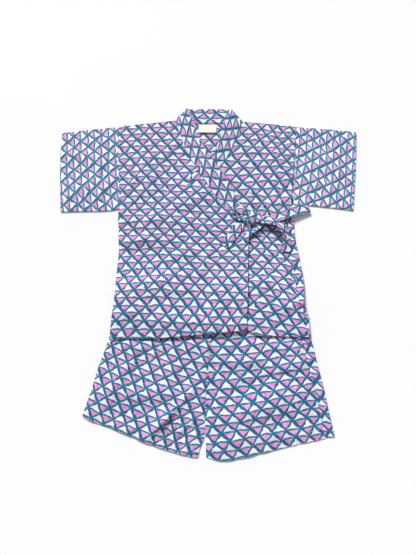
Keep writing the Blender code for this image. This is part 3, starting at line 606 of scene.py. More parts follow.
# %% [markdown]
# ## The back panel
# The back is one piece, and the only panel that lies flat on the table. Its right side is longer
# than the front and wraps over the edge to a seam on the front, with a short open vent at the
# hem. Past the fold line each row of the grid therefore gets a bend and a flap. Its inside shows
# in the neck opening.

# %% Lay the back panel
SIDE_ROWS = 124
ARM_ROWS = 88
BODY_COLUMNS = 112
FLAP_BEND = 0.9
# the back panel bulges a little in the neck opening
NECK_BULGE = ((2, 270, 0, 26, 22, 22, 0.8),)


def right_wrap(heights):
    """Fold line, flap and turn of the back's right side at the wanted heights."""
    fold, ys, flap, turn = zip(*RIGHT_WRAP)
    return [np.interp(heights, ys, column) for column in (fold, flap, turn)]


def wrapped(plan, base, flap, turn):
    """Columns beyond a fold line: a bend through the given turn, then a flap."""
    bend_steps, flap_steps = 7, 5
    bend_length = math.pi * FLAP_BEND
    angle = np.radians(np.maximum(turn, 1.0))[:, None]
    radius = bend_length / angle
    shares = np.linspace(0.0, 1.0, bend_steps + 1)[None, 1:]
    x = plan[:, None, 0] + radius * np.sin(angle * shares)
    z = base[:, None] + radius * (1 - np.cos(angle * shares))
    onward = np.linspace(0.0, 1.0, flap_steps + 1)[None, 1:] * flap[:, None]
    x = np.concatenate([x, x[:, -1:] + onward * np.cos(angle)], axis=1)
    z = np.concatenate([z, z[:, -1:] + onward * np.sin(angle)], axis=1)
    facing = np.concatenate([angle * shares, np.repeat(angle, flap_steps, axis=1)], axis=1)
    y = np.repeat(plan[:, None, 1], x.shape[1], axis=1)
    points = np.stack([x, y, z], axis=-1)
    outward = np.stack([-np.sin(facing), np.zeros_like(facing), np.cos(facing)], axis=-1)
    bent = bend_length * np.repeat(shares, len(plan), axis=0)
    beyond = np.concatenate([bent, bend_length + onward], axis=1)
    opened = np.stack([plan[:, None, 0] + beyond, y], axis=-1)
    return points, outward, opened


left_side = ((LEFT_SIDE[0][0], BACK_HEM[0][1]), *LEFT_SIDE[1:])
left = joined(curve(left_side, SIDE_ROWS), curve(ARMHOLE_LEFT, ARM_ROWS))
fold_line = curve([(row[0], row[1]) for row in RIGHT_WRAP], SIDE_ROWS)
right = joined(fold_line, curve((fold_line[-1], *ARMHOLE_RIGHT[1:]), ARM_ROWS))
neck = [(row[0], row[1]) for row in BACK_BAND]
neck_left, neck_right = OVER_BAND[-1][:2], UNDER_BAND[-1][:2]
top = joined(evenly((left[-1], neck_left), 37), evenly((neck_left, *neck, neck_right), 39),
             evenly((neck_right, right[-1]), 38))
back_plan = patch(curve((left[0], *BACK_HEM[1:-1], right[0]), BODY_COLUMNS), top, left, right)
low_edge = steps_from(back_plan, 0)
middle = LAYER / 2 + top_rise(back_plan) + 0.25 * crinkle(back_plan, 3) * smooth(low_edge, 0, 20)
middle = middle - hem_sag(back_plan, low_edge)
middle = middle + folds(back_plan, NECK_BULGE) * smooth(back_plan[..., 1], 230, 290)
points, outward = standing(back_plan, middle)
fold, flap, turn = right_wrap(fold_line[:, 1])
beyond, beyond_out, opened = wrapped(fold_line, middle[:SIDE_ROWS, -1], flap, turn)
missing = np.repeat(points[SIDE_ROWS:, -1:], beyond.shape[1], axis=1)
tail = np.linspace(0.0, 0.02, beyond.shape[1])[None, :, None]
missing = missing + tail * np.array([1.0, 0.0, 0.0])
outside = np.repeat(outward[SIDE_ROWS:, -1:], beyond.shape[1], axis=1)
opened_all = np.concatenate([opened, missing[..., :2]], axis=0)
points = np.concatenate([points, np.concatenate([beyond, missing], axis=0)], axis=1)
outward = np.concatenate([outward, np.concatenate([beyond_out, outside], axis=0)], axis=1)
cloth_plan = np.concatenate([back_plan, opened_all], axis=1)
back_cloth = on_cloth(cloth_plan, BACK_PINS)
thick = CLOTH + hem(steps_from(cloth_plan, 0), TOP_HEM)
shell("back_panel_cloth", points, outward, back_cloth, thick, left_print)

# %% [markdown]
# ## The two fronts
# The fronts are mirror shapes: hem, side, armhole, shoulder, and a front edge that turns into the
# neck seam. The over front lies on top; the under front reaches across beneath it. Both are
# hemmed, and they sink a little at the side seam and the armhole, where the stitches draw them
# down to the layer below.

# %% Lay the under front
FRONT_COLUMNS = 136
EDGE_ROWS = 84
UNDER_FOLDS = ((86, 172, -44, 28, 13, 4, 4.6), (136, 168, -78, 26, 5, 12, 6.0),
               (122, 196, -52, 24, 10, 3.5, 3.4), (103, 146, -18, 18, 8, 8, 5.0),
               (158, 156, 10, 16, 9, 7, 4.0), (142, 4, 97, 36, 14, 8, 4.0),
               (112, 40, 84, 34, 8, 7, 2.2), (94, -14, 8, 28, 12, 20, 7.0),
               (92, -50, 4, 26, 9, 13, 2.2), (140, -60, 22, 32, 13, 10, 4.4),
               (132, 258, 94, 40, 16, 14, 3.2), (96, 262, -30, 18, 6, 4, 1.6),
               (160, 210, -64, 24, 4, 9, 2.6), (146, -20, 70, 24, 6, 5, 1.8),
               (80, -30, 88, 26, 8, 12, -0.9))
sewn_x = fold - flap - 0.2
vent_x = np.interp(fold_line[:, 1], [y for _, y in VENT_EDGE], [x for x, _ in VENT_EDGE])
meeting = smooth(fold_line[:, 1], VENT_EDGE[-1][1] - 4, VENT_EDGE[-1][1] + 8)
under_side = np.stack([vent_x * (1 - meeting) + sewn_x * meeting, fold_line[:, 1]], axis=1)
right = joined(under_side, curve((under_side[-1], *ARMHOLE_RIGHT[1:]), ARM_ROWS))
neck = [(row[0], row[1]) for row in UNDER_BAND]
left = joined(curve(UNDER_EDGE, EDGE_ROWS), curve(neck, SIDE_ROWS + ARM_ROWS - EDGE_ROWS))
bottom = curve((left[0], *UNDER_HEM[1:-1], right[0]), FRONT_COLUMNS)
under_plan = patch(bottom, evenly((left[-1], right[-1]), FRONT_COLUMNS), left, right)
shows = smooth(under_plan[..., 0], 60, 84)
creased = (folds(under_plan, UNDER_FOLDS) + washed(under_plan, 5)) * shows
middle = PILE + LAYER / 2 + top_rise(under_plan) + creased
from_hem, from_side = steps_from(under_plan, 0), steps_from(under_plan, 1, True)
middle = middle - dip(from_side, 0.35, 4) - hem_sag(under_plan, from_hem)
points, outward = standing(under_plan, middle)
below_band = under_plan[..., 1] < UNDER_EDGE[-1][1]
thick = CLOTH + hem(from_hem, TOP_HEM) + hem(steps_from(under_plan, 1), FRONT_HEM) * below_band
top_face = shell("under_front_cloth", points, outward, on_cloth(under_plan, UNDER_PINS), thick, left_print)
stitched_lines.append(top_face[6, FRONT_COLUMNS // 2:])

# %% Lay the over front
OVER_FOLDS = ((-122, 113, 3, 46, 15, 15, 6.4), (-124, 72, 2, 46, 14, 12, 6.8),
              (-30, 104, -6, 34, 12, 12, 2.6), (-58, 38, 16, 48, 13, 10, 3.8),
              (-82, -8, 15, 70, 26, 21, 8.6), (-46, -26, 14, 44, 10, 9, 2.8),
              (-140, -22, 80, 50, 26, 26, 3.0), (-50, -84, -2, 90, 15, 14, 4.0),
              (24, -40, 80, 46, 15, 11, 4.0), (56, 10, 88, 56, 11, 9, 2.4),
              (-120, 218, 96, 66, 24, 20, 4.2), (-36, 152, 24, 44, 17, 13, 3.8),
              (-152, 186, 62, 28, 8, 5, 3.0), (-140, 158, 48, 26, 8, 5, 2.8),
              (-160, 134, 30, 20, 9, 7, 3.2), (-84, 256, 60, 34, 11, 9, 2.4),
              (-6, 30, 66, 30, 8, 6, 2.2), (-136, -66, 10, 34, 26, 10, 3.6),
              (-70, 190, -30, 34, 11, 8, 2.2), (74, -28, 88, 36, 18, 6, 5.4),
              (76, 40, 88, 60, 12, 6, 1.4))
left = joined(curve(LEFT_SIDE, SIDE_ROWS), curve(ARMHOLE_LEFT, ARM_ROWS))
neck = [(row[0], row[1]) for row in OVER_BAND]
right = joined(curve(OVER_EDGE, EDGE_ROWS), curve(neck, SIDE_ROWS + ARM_ROWS - EDGE_ROWS))
bottom = curve((left[0], *OVER_HEM[1:-1], right[0]), FRONT_COLUMNS)
over_plan = patch(bottom, evenly((left[-1], right[-1]), FRONT_COLUMNS), left, right)
middle = PILE + LAYER / 2 + top_rise(over_plan) + over_front(over_plan)
middle = middle + folds(over_plan, OVER_FOLDS) + washed(over_plan, 11)
from_hem = steps_from(over_plan, 0)
from_side, from_edge = steps_from(over_plan, 1), steps_from(over_plan, 1, True)
middle = middle - dip(from_side, 0.35, 4) - hem_sag(over_plan, from_hem)
points, outward = standing(over_plan, middle)
below_band = over_plan[..., 1] < OVER_EDGE[-1][1]
thick = CLOTH + hem(from_hem, TOP_HEM) + hem(from_edge, FRONT_HEM) * below_band
top_face = shell("over_front_cloth", points, outward, on_cloth(over_plan, OVER_PINS), thick, left_print)
stitched_lines.append(top_face[6, :-5])
stitched_lines.append(top_face[6:EDGE_ROWS, -5])

# %% [markdown]
# ## The sleeves
# A sleeve is a tube, open at the armhole and the cuff, that lies flattened. Each section of the
# tube is a lower wall, a rounded edge, an upper wall and another rounded edge. The upper wall is
# a little fuller than the lower one, so it swells softly. The print runs a quarter turn from the
# body's, because the sleeves are cut across the cloth.

# %% Lay the sleeves
SLEEVE_SECTIONS = 38
SLEEVE_ROWS = 58
TUBE_BEND = 9
LEFT_SLEEVE_FOLDS = ((-236, 204, 88, 70, 30, 30, 1.2), (-256, 250, -14, 36, 15, 10, 4.2),
                     (-206, 178, 58, 32, 11, 7, 3.4), (-252, 176, 30, 32, 12, 10, 2.6),
                     (-214, 226, 74, 28, 8, 6, 2.0), (-226, 284, 20, 28, 10, 8, 2.0))
RIGHT_SLEEVE_FOLDS = ((244, 208, 92, 70, 30, 30, 1.2), (222, 252, -30, 34, 15, 9, 4.6),
                      (212, 196, 128, 36, 7, 12, 4.0), (262, 262, 60, 36, 12, 10, 2.6),
                      (216, 228, -14, 32, 12, 10, 3.6), (236, 184, 122, 28, 6, 9, 2.4),
                      (258, 210, 70, 28, 8, 6, 2.0))


def tube_section(plan, low, high, bend_steps=TUBE_BEND):
    """Section of a flattened tube: lower wall, rounded edge, upper wall, rounded edge."""
    points = [(x, y, z) for (x, y), z in zip(plan, low)]
    outward = [(0.0, 0.0, -1.0)] * len(plan)
    angles = np.linspace(0.0, math.pi, bend_steps + 2)[1:-1]
    for end, before, turns in ((-1, -2, angles), (0, 1, angles[::-1])):
        away = plan[end] - plan[before]
        away = away / np.linalg.norm(away)
        radius = (high[end] - low[end]) / 2
        for angle in turns:
            points.append((*(plan[end] + away * radius * math.sin(angle)),
                           low[end] + radius * (1 - math.cos(angle))))
            outward.append((*(away * math.sin(angle)), -math.cos(angle)))
        if end == -1:
            points += [(x, y, z) for (x, y), z in zip(plan[::-1], high[::-1])]
            outward += [(0.0, 0.0, 1.0)] * len(plan)
    return np.array(points), np.array(outward)


def sleeve(name, edges, armhole, table, pins, material, seed):
    """Flattened tube between an armhole and a cuff, open at both."""
    plan = patch(curve(armhole, SLEEVE_ROWS), curve(edges["cuff"], SLEEVE_ROWS),
                 curve(edges["underside"], SLEEVE_SECTIONS), curve(edges["top"], SLEEVE_SECTIONS))
    from_armhole, from_cuff = steps_from(plan, 0), steps_from(plan, 0, True)
    # the rounded edges reach out past the line of the wall, so the line stops a little short
    rim = 0.009
    shares = np.linspace(rim, 1 - rim, SLEEVE_ROWS)
    places = np.linspace(0.0, 1.0, SLEEVE_ROWS)
    points, outward, cloth = [], [], []
    for section in range(SLEEVE_SECTIONS):
        line = np.stack([np.interp(shares, places, plan[section, :, axis]) for axis in range(2)], axis=1)
        edge = np.sin(np.pi * places) ** 0.7
        swell = (folds(line, table) + washed(line, seed)) * edge * smooth(section, 0, 5)
        high = LAYER / 2 + PILE + swell - dip(from_armhole[section], 0.35, 4)
        around, away = tube_section(line, np.full(SLEEVE_ROWS, LAYER / 2), high)
        upper = on_cloth(line, pins)
        spacing = np.linalg.norm(np.diff(np.concatenate([around, around[:1]]), axis=0), axis=1)
        girth = np.concatenate([[0.0], np.cumsum(spacing)])
        last = SLEEVE_ROWS + TUBE_BEND
        first = last + SLEEVE_ROWS
        onto = upper[0] - upper[1]
        onto = onto / np.linalg.norm(onto)
        place = np.zeros((len(girth), 2))
        place[last:first] = upper[::-1]
        after = girth[first:] - girth[first - 1]
        place[first:] = upper[0] + onto * after[:, None]
        before = girth[last] - girth[:last]
        place[:last] = upper[-1] - onto * before[:, None]
        points.append(around)
        outward.append(away)
        cloth.append(place)
    points, outward, cloth = np.array(points), np.array(outward), np.array(cloth)
    thick = CLOTH + hem(from_cuff[:, :1], CUFF_HEM) * 0.8
    top_face = shell(name + "_cloth", points, outward, cloth, thick, material, ring=True)
    stitched_lines.append(top_face[-6, last:first])
    closed = np.concatenate([points, points[:, :1]], axis=1)
    girth = steps_from(closed, 1)[:, -1]


sleeve("sleeve_left", LEFT_SLEEVE, ARMHOLE_LEFT, LEFT_SLEEVE_FOLDS, LEFT_SLEEVE_PINS, sleeve_print_painted_light, 21)
sleeve("sleeve_right", RIGHT_SLEEVE, ARMHOLE_RIGHT, RIGHT_SLEEVE_FOLDS, RIGHT_SLEEVE_PINS, sleeve_print_painted_light, 23)

# %% [markdown]
# ## The neckband
# The neckband is one straight strip folded double. It runs up the over front, folds over at the
# left shoulder, crosses the back of the neck standing towards the viewer, folds again, and runs
# down the under front until it is hidden. It is the thickest cloth here, with a rounded edge, and
# the print runs lengthwise along it.

# %% Lay the neckband
BAND_CLOTH = 1.9
BAND_BEND = 1.3
BAND_COLUMNS = 15
BAND_REPEAT = 27.3
BAND_WIDTH = 35.0
# how far the free edge of the band stands over its seam at the neck
BAND_RAISE = 3.4
# where the print is charted: y in the plan (x on the back of the neck), repeat, row
BAND_MARKS = {"over": (246.0, 0.278, 0.45), "under": (258.0, 0.737, 0.12), "back": (0.0, 0.707, 0.564)}


def band_rows(table, count):
    """Seam and free edges of a stretch of neckband, smoothly spaced."""
    table = np.array(table, float)
    seam, free = curve(table[:, 0:2], count), curve(table[:, 2:4], count)
    return seam, free


def across_band(seam, free):
    """Grid between the two edges, close together at the rounded rims."""
    shares = 0.5 - 0.5 * np.cos(np.linspace(0.0, math.pi, BAND_COLUMNS))
    return (1 - shares)[None, :, None] * seam[:, None] + shares[None, :, None] * free[:, None]


def front_band(table, lift_over):
    """Front stretch of the band, rising to the shoulder fold."""
    seam, free = band_rows(table, 110)
    plan = across_band(seam, free)
    level = PILE + BAND_CLOTH / 2 + top_rise(plan) + (over_front(plan) if lift_over else 0.0)
    lift = smooth(steps_from(plan, 0, True), 26, 0)
    level = level * (1 - lift) + (BAND_CLOTH / 2 + 2 * BAND_BEND) * lift
    level = level + 0.35 * crinkle(plan, 31, 26.0) * (1 - lift)
    share = steps_from(plan, 1) / BAND_WIDTH
    raised = BAND_RAISE * smooth(plan[..., 1], 120, 180) * (1 - lift) * (share - 0.3)
    return standing(plan, level + raised)


def fold_over(line, away):
    """Rows of the band as it turns over a shoulder."""
    points, outward = [], []
    for angle in np.linspace(0.0, math.pi, 11)[1:]:
        reach = away * math.sin(angle)
        points.append([(*(spot[:2] + BAND_BEND * reach), BAND_CLOTH / 2 + BAND_BEND * (1 + math.cos(angle)))
                       for spot in line])
        outward.append([(*reach, math.cos(angle))] * len(line))
    return np.array(points), np.array(outward)


over, over_out = front_band(OVER_BAND, True)
under, under_out = front_band(UNDER_BAND, False)
seam, free = band_rows(BACK_BAND, 30)
back, back_out = standing(across_band(seam, free), np.full((30, BAND_COLUMNS), BAND_CLOTH / 2))
stretches = [(over, over_out)]
for stretch, side in ((over, 1), (under, -1)):
    slope = stretch[-1, -1, :2] - stretch[-1, 0, :2]
    away = side * np.array([-slope[1], slope[0]]) / np.linalg.norm(slope)
    turned, turned_out = fold_over(stretch[-1], away)
    stretches.append((turned, turned_out) if side == 1 else (turned[::-1], turned_out[::-1]))
    if side == 1:
        stretches.append((back, -back_out))
stretches.append((under[::-1], under_out[::-1]))
points = np.concatenate([stretch for stretch, _ in stretches])
outward = np.concatenate([out for _, out in stretches])
run = steps_from(points[:, BAND_COLUMNS // 2], 0)
width = steps_from(points, 1)


def band_place(rows, axis, value):
    """How far along the band its middle passes a place in the plan."""
    passed = points[rows, BAND_COLUMNS // 2, axis]
    order = np.argsort(passed)
    return float(np.interp(value, passed[order], run[rows][order]))


back_start = len(over) + 10
over_mark = band_place(slice(0, len(over)), 1, BAND_MARKS["over"][0])
under_mark = band_place(slice(len(points) - len(under), len(points)), 1, BAND_MARKS["under"][0])
back_mark = band_place(slice(back_start, back_start + len(back)), 0, BAND_MARKS["back"][0])
reached = BAND_MARKS["over"][1] - (under_mark - over_mark) / BAND_REPEAT
slip = (BAND_MARKS["under"][1] - reached + 0.5) % 1.0 - 0.5
across_back = smooth(run, run[len(over)], run[-len(under)])
place_along = BAND_MARKS["over"][1] - (run - over_mark) / BAND_REPEAT + slip * across_back
row_mark = BAND_MARKS["over"][2] + (BAND_MARKS["under"][2] - BAND_MARKS["over"][2]) * across_back
inner_along = BAND_MARKS["back"][1] - (run - back_mark) / BAND_REPEAT
from_centre = width - width[:, -1:] / 2
band_cloth = np.stack([np.repeat(place_along[:, None] * REPEAT, BAND_COLUMNS, axis=1),
                       from_centre + row_mark[:, None] * ROW], axis=-1)
inner_cloth = np.stack([np.repeat(inner_along[:, None] * REPEAT, BAND_COLUMNS, axis=1),
                        BAND_MARKS["back"][2] * ROW - from_centre], axis=-1)
rounding = np.clip(np.minimum(width, width[:, -1:] - width) / (BAND_CLOTH / 2), 0.0, 1.0)
thick = BAND_CLOTH * (0.25 + 0.75 * np.sqrt(1 - (1 - rounding) ** 2))
top_face = shell("neckband_cloth", points, outward, band_cloth, thick, left_print, inner_cloth=inner_cloth)
stitched_lines.append(top_face[2:108, 2])
print("neckband, mm:", round(float(run[-1])), "long,", round(float(width.max()), 1), "wide when folded")

# %% [markdown]
# ## The label
# A small woven tape is sewn inside the back of the neck. It is bare here. Only its upper edge is
# held, so the lower edge stands up a little and throws a thin shadow.

# %% Sew in the bare label
def woven_tape():
    """Cream cotton tape in a fine twill: matt, a little warm, with close diagonal ribs."""
    material = bpy.data.materials.new("cream_woven_tape")
    material.use_nodes = True
    tree = material.node_tree
    shader = tree.nodes["Principled BSDF"]
    shader.inputs["Roughness"].default_value = 0.8
    cloth = add(tree, "ShaderNodeUVMap", {}, uv_map="cloth")
    in_mm = add(tree, "ShaderNodeVectorMath", {0: cloth, "Scale": 1000.0}, operation="SCALE")
    uneven = add(tree, NOISE, {"Vector": in_mm, "Scale": 0.4, "Detail": 3.0})
    colour = add(tree, MIX, {0: uneven, 6: linear("#FBF8E8"), 7: linear("#F0ECD6")}, data_type="RGBA")
    tree.links.new(colour.outputs[2], shader.inputs["Base Color"])
    ribs = add(tree, "ShaderNodeTexWave", {"Vector": in_mm, "Scale": 0.55, "Distortion": 0.3},
               bands_direction="DIAGONAL")
    bump = add(tree, "ShaderNodeBump", {"Strength": 0.4, "Distance": 0.00008, "Height": ribs.outputs["Fac"]})
    tree.links.new(bump.outputs[0], shader.inputs["Normal"])
    return material


LABEL = {"left": -19.0, "right": 17.0, "top": 325.5, "bottom": 306.0}
LABEL_HEIGHT = 1.9
LABEL_CURL = 1.6
LABEL_CLOTH = 0.6
label_plan = patch(*[curve(side, count) for side, count in (
    (((LABEL["left"], LABEL["bottom"]), (LABEL["right"], LABEL["bottom"])), 26),
    (((LABEL["left"], LABEL["top"]), (LABEL["right"], LABEL["top"])), 26),
    (((LABEL["left"], LABEL["bottom"]), (LABEL["left"], LABEL["top"])), 16),
    (((LABEL["right"], LABEL["bottom"]), (LABEL["right"], LABEL["top"])), 16))])
curl = LABEL_CURL * (1 - smooth(label_plan[..., 1], LABEL["bottom"], LABEL["top"]))
points, outward = standing(label_plan, LABEL_HEIGHT + curl)
top_face = shell("label_tape", points, outward, label_plan, LABEL_CLOTH, woven_tape())
stitched_lines.append(top_face[-2, 1:-1])
print("label", LABEL["right"] - LABEL["left"], "by", LABEL["top"] - LABEL["bottom"], "mm")

# %% [markdown]
# ## The shorts
# Each leg has a front and a back panel. The backs lie on the table; the right back is longer and
# wraps over its side to a seam on the front. The fronts rise towards the waist, where the elastic
# gathers them, and the left leg is pushed into one slanting fold.

# %% Lay the shorts
LEG_COLUMNS = 96
INSEAM_ROWS = 24
CENTRE_ROWS = 88
WAIST_FRONT = 3.0
LEFT_LEG_FOLDS = ((-76, -256, 46, 37, 15, 5.5, 8.6), (-66, -246, 46, 40, 10, 30, 4.2),
                  (-100, -212, 2, 52, 15, 11, 6.2), (-168, -205, 68, 42, 14, 11, 3.8),
                  (-62, -168, 82, 42, 16, 12, 3.8), (-4, -168, 88, 48, 12, 9, 4.6),
                  (-36, -262, 40, 22, 8, 5, 2.8), (-120, -264, 20, 28, 8, 6, 2.4),
                  (-34, -132, 72, 20, 6, 5, 2.2), (-128, -122, 2, 56, 8, 18, 3.2),
                  (-30, -120, 2, 34, 8, 16, 3.0), (0, -128, 84, 20, 9, 9, 3.4),
                  (-199, -208, 76, 36, 5, 15, 2.2), (-140, -166, 66, 32, 10, 8, 2.8),
                  (-98, -146, 86, 26, 9, 7, 2.6), (-32, -208, 60, 26, 8, 5, 2.6))
RIGHT_LEG_FOLDS = ((76, -157, 0, 46, 13, 10, 5.4), (140, -165, 12, 48, 11, 10, 5.4),
                   (96, -228, 18, 68, 22, 27, 8.8), (-4, -168, 88, 48, 12, 9, 4.6),
                   (24, -146, 84, 38, 5, 8, 3.4), (160, -200, 98, 50, 16, 12, 3.0),
                   (56, -190, 20, 34, 8, 6, 2.4), (110, -126, -2, 60, 8, 16, 3.0),
                   (0, -128, 84, 20, 9, 9, 3.4), (120, -276, 12, 42, 10, 10, 2.8),
                   (42, -288, 12, 36, 10, 10, 3.2), (40, -126, 66, 18, 6, 5, 2.2),
                   (68, -128, 84, 18, 6, 5, 1.8), (130, -190, 12, 34, 8, 6, 2.2))


def leg_plan(side, inseam, hem_line, mirrored):
    """Grid of one leg panel from the hem up to the waist."""
    inner = joined(curve(inseam, INSEAM_ROWS), curve(CENTRE_SEAM, CENTRE_ROWS))
    outer = curve(side, INSEAM_ROWS + CENTRE_ROWS - 1)
    left, right = (inner, outer) if mirrored else (outer, inner)
    bottom = curve((left[0], *hem_line[1:-1], right[0]), LEG_COLUMNS)
    return patch(bottom, evenly((left[-1], right[-1]), LEG_COLUMNS), left, right)


def leg_front(name, plan, table, pins, mirrored, material, seed):
    """Front of a leg, with its folds and the first gathers of the waist."""
    gathers = 0.9 * (0.5 - 0.5 * np.cos(2 * np.pi * plan[..., 0] / 13.0 + 0.4 * np.sin(plan[..., 0] / 9)))
    lift = smooth(plan[..., 1], SHORTS_WAIST - 40, SHORTS_WAIST) * (WAIST_FRONT - PILE + gathers)
    below = smooth(plan[..., 1], -105, -130)
    middle = PILE + LAYER / 2 + lift + (folds(plan, table) + washed(plan, seed)) * below
    from_hem = steps_from(plan, 0)
    from_side = steps_from(plan, 1, mirrored)
    from_centre = steps_from(plan, 1, not mirrored)
    middle = middle - dip(from_side, 0.9, 4) - dip(from_centre, 1.0, 3.5) - dip(from_hem, 0.6, 5)
    points, outward = standing(plan, middle)
    thick = CLOTH + hem(from_hem, LEG_HEM)
    top_face = shell(name + "_cloth", points, outward, on_cloth(plan, pins), thick, material)
    stitched_lines.append(top_face[8, 2:-2])


left_leg = leg_plan(SHORTS_LEFT, INSEAM_LEFT, HEM_LEFT, False)
leg_front("shorts_front_left", left_leg, LEFT_LEG_FOLDS, LEFT_LEG_PINS, False, left_print, 41)
inner_side = [(x - SHORTS_FLAP - 0.2, y) for x, y in SHORTS_RIGHT]
inner_side[0] = (inner_side[0][0], inner_side[0][1] - 3)
right_leg = leg_plan(inner_side, INSEAM_RIGHT, (*HEM_RIGHT[:-1], inner_side[0]), True)
leg_front("shorts_front_right", right_leg, RIGHT_LEG_FOLDS, RIGHT_LEG_PINS, True, left_print, 43)

points, outward = standing(left_leg, np.full(left_leg.shape[:2], LAYER / 2))
thick = CLOTH + hem(steps_from(left_leg, 0), LEG_HEM) * 0.5
shell("shorts_back_left_cloth", points, outward, turned_cloth(left_leg, -20), thick, left_print)

back_leg = leg_plan(SHORTS_RIGHT, INSEAM_RIGHT, HEM_RIGHT, True)
points, outward = standing(back_leg, np.full(back_leg.shape[:2], LAYER / 2))
side = back_leg[:, -1]
flap, turn = np.full(len(side), SHORTS_FLAP), np.full(len(side), 180.0)
beyond, beyond_out, opened = wrapped(side, np.full(len(side), LAYER / 2), flap, turn)
opened_leg = np.concatenate([back_leg, opened], axis=1)
thick = CLOTH + hem(steps_from(opened_leg, 0), LEG_HEM) * 0.5
shell("shorts_back_right_cloth", np.concatenate([points, beyond], axis=1),
      np.concatenate([outward, beyond_out], axis=1), on_cloth(opened_leg, RIGHT_LEG_PINS), thick, left_print)

# %% [markdown]
# ## The waistband
# Elastic draws the waist in, so the band is a flattened ring whose front is full of small
# gathers. The top's hem hides nearly all of it.

# %% Gather the waistband
WAIST_HALF = 152.0
across = np.linspace(-WAIST_HALF, WAIST_HALF, 150)
points, outward = [], []
for y in np.linspace(SHORTS_WAIST + 0.2, -62.0, 9):
    line = np.stack([across, np.full_like(across, y)], axis=1)
    gathers = 0.8 * (0.5 - 0.5 * np.cos(2 * np.pi * across / 13.0 + 0.4 * np.sin(across / 9)))
    around, away = tube_section(line, np.full(len(across), 1.0), WAIST_FRONT + 1.0 + gathers, 7)
    points.append(around)
    outward.append(away)
points, outward = np.array(points), np.array(outward)
girth = steps_from(np.concatenate([points, points[:, :1]], axis=1), 1)
waist_cloth = np.stack([girth, np.repeat(points[:, :1, 1], girth.shape[1], axis=1)], axis=-1)
shell("waistband_cloth", points, outward, waist_cloth, 1.6, left_print, ring=True)
print("waist all round, mm:", round(float(girth.max())))

# %% [markdown]
# ## The bow
# Two ties, sewn to the front edge and to the side seam, are knotted over the end of the
# neckband: one loop, a tail to the lower left, the tie that comes from the side, and a tail that
# arches up and falls to the right. A tie is a strip folded double and stitched, so each is a
# narrow ribbon. Its rows say where its middle is, which way it faces, and how wide it is drawn.

# %% Tie the bow
TIE_CLOTH = 1.1
TIE_LOW = 9.7


def ribbon(name, rows, material, seed):
    """Tie strip through rows of: middle x, y, z, direction across, tilt across, width."""
    rows = curve(np.array(rows, float), 60)
    middles = rows[:, :3]
    turn, tilt = np.radians(rows[:, 3]), np.radians(rows[:, 4])
    across = np.stack([np.cos(turn) * np.cos(tilt), np.sin(turn) * np.cos(tilt), np.sin(tilt)], axis=1)
    outward = np.cross(np.gradient(middles, axis=0), across)
    outward /= np.linalg.norm(outward, axis=1)[:, None]
    sides = -0.5 * np.cos(np.linspace(0.0, math.pi, 13))
    points = middles[:, None] + across[:, None] * (sides[None, :, None] * rows[:, 5][:, None, None])
    outward = np.repeat(outward[:, None], 13, axis=1)
    random = np.random.default_rng(seed)
    ripple = 0.35 * np.sin(np.linspace(0, 9, 60)[:, None] + sides[None] * 4 + random.uniform(0, 6))
    points = points + outward * (ripple * np.cos(sides * 2.6))[..., None]
    run = steps_from(points[:, 6], 0)
    width = steps_from(points, 1)
    cloth = np.stack([np.repeat(run[:, None], 13, axis=1), width + random.uniform(0, ROW)], axis=-1)
    rounding = np.clip(np.minimum(width, width[:, -1:] - width) / (TIE_CLOTH / 2), 0.0, 1.0)
    thick = TIE_CLOTH * (0.3 + 0.7 * np.sqrt(1 - (1 - rounding) ** 2))
    shell(name + "_cloth", points, outward, cloth, thick, material)


ribbon("tie_tail_left", ((74.2, 114, TIE_LOW, 68, 0, 12), (69, 110, TIE_LOW - 0.2, 84, 0, 15),
                         (60, 99, TIE_LOW - 1.2, 118, 0, 18), (47, 81, TIE_LOW - 2.6, 134, 0, 19),
                         (30.5, 60, TIE_LOW - 3.4, 142, 0, 20)), left_print, 51)
ribbon("tie_loop", ((74.4, 115, TIE_LOW + 2.0, 68, 0, 13), (65, 116, TIE_LOW + 2.2, 66, 0, 15),
                    (54, 120.5, TIE_LOW + 2.2, 62, 0, 14), (48.5, 124, TIE_LOW + 3.1, 62, 0, 11.5),
                    (47, 125.6, TIE_LOW + 4.6, 64, 0, 11), (48.5, 127, TIE_LOW + 6.1, 68, 0, 11.5),
                    (54, 130.5, TIE_LOW + 7.0, 80, 0, 13), (65, 131.5, TIE_LOW + 6.4, 84, 0, 13),
                    (77.6, 123, TIE_LOW + 4.6, 68, 0, 12)), left_print, 52)
ribbon("tie_side", ((92.7, 113.5, TIE_LOW, 68, 0, 15), (107, 111, TIE_LOW - 0.2, 78, -4, 16),
                    (124, 113.5, TIE_LOW - 0.4, 100, -10, 17), (142, 120, TIE_LOW - 1.4, 108, -12, 18),
                    (166, 129.5, TIE_LOW - 3.0, 110, -8, 19.5), (195.5, 139, TIE_LOW - 5.2, 110, -3, 20)),
       right_print, 53)
ribbon("tie_tail_right", ((92.7, 113.5, TIE_LOW + 3.4, 68, 0, 15), (107, 110, TIE_LOW + 4.4, 80, -4, 15),
                          (122, 106.5, TIE_LOW + 6.4, 72, -16, 15), (136, 98.5, TIE_LOW + 6.2, 46, -32, 16),
                          (145, 87, TIE_LOW + 3.2, 16, -34, 17), (149, 74, TIE_LOW, -2, -22, 16),
                          (149, 61, TIE_LOW - 2.6, -8, -14, 16.5), (147.5, 49, TIE_LOW - 4.0, -8, -8, 18)),
       right_print, 54)

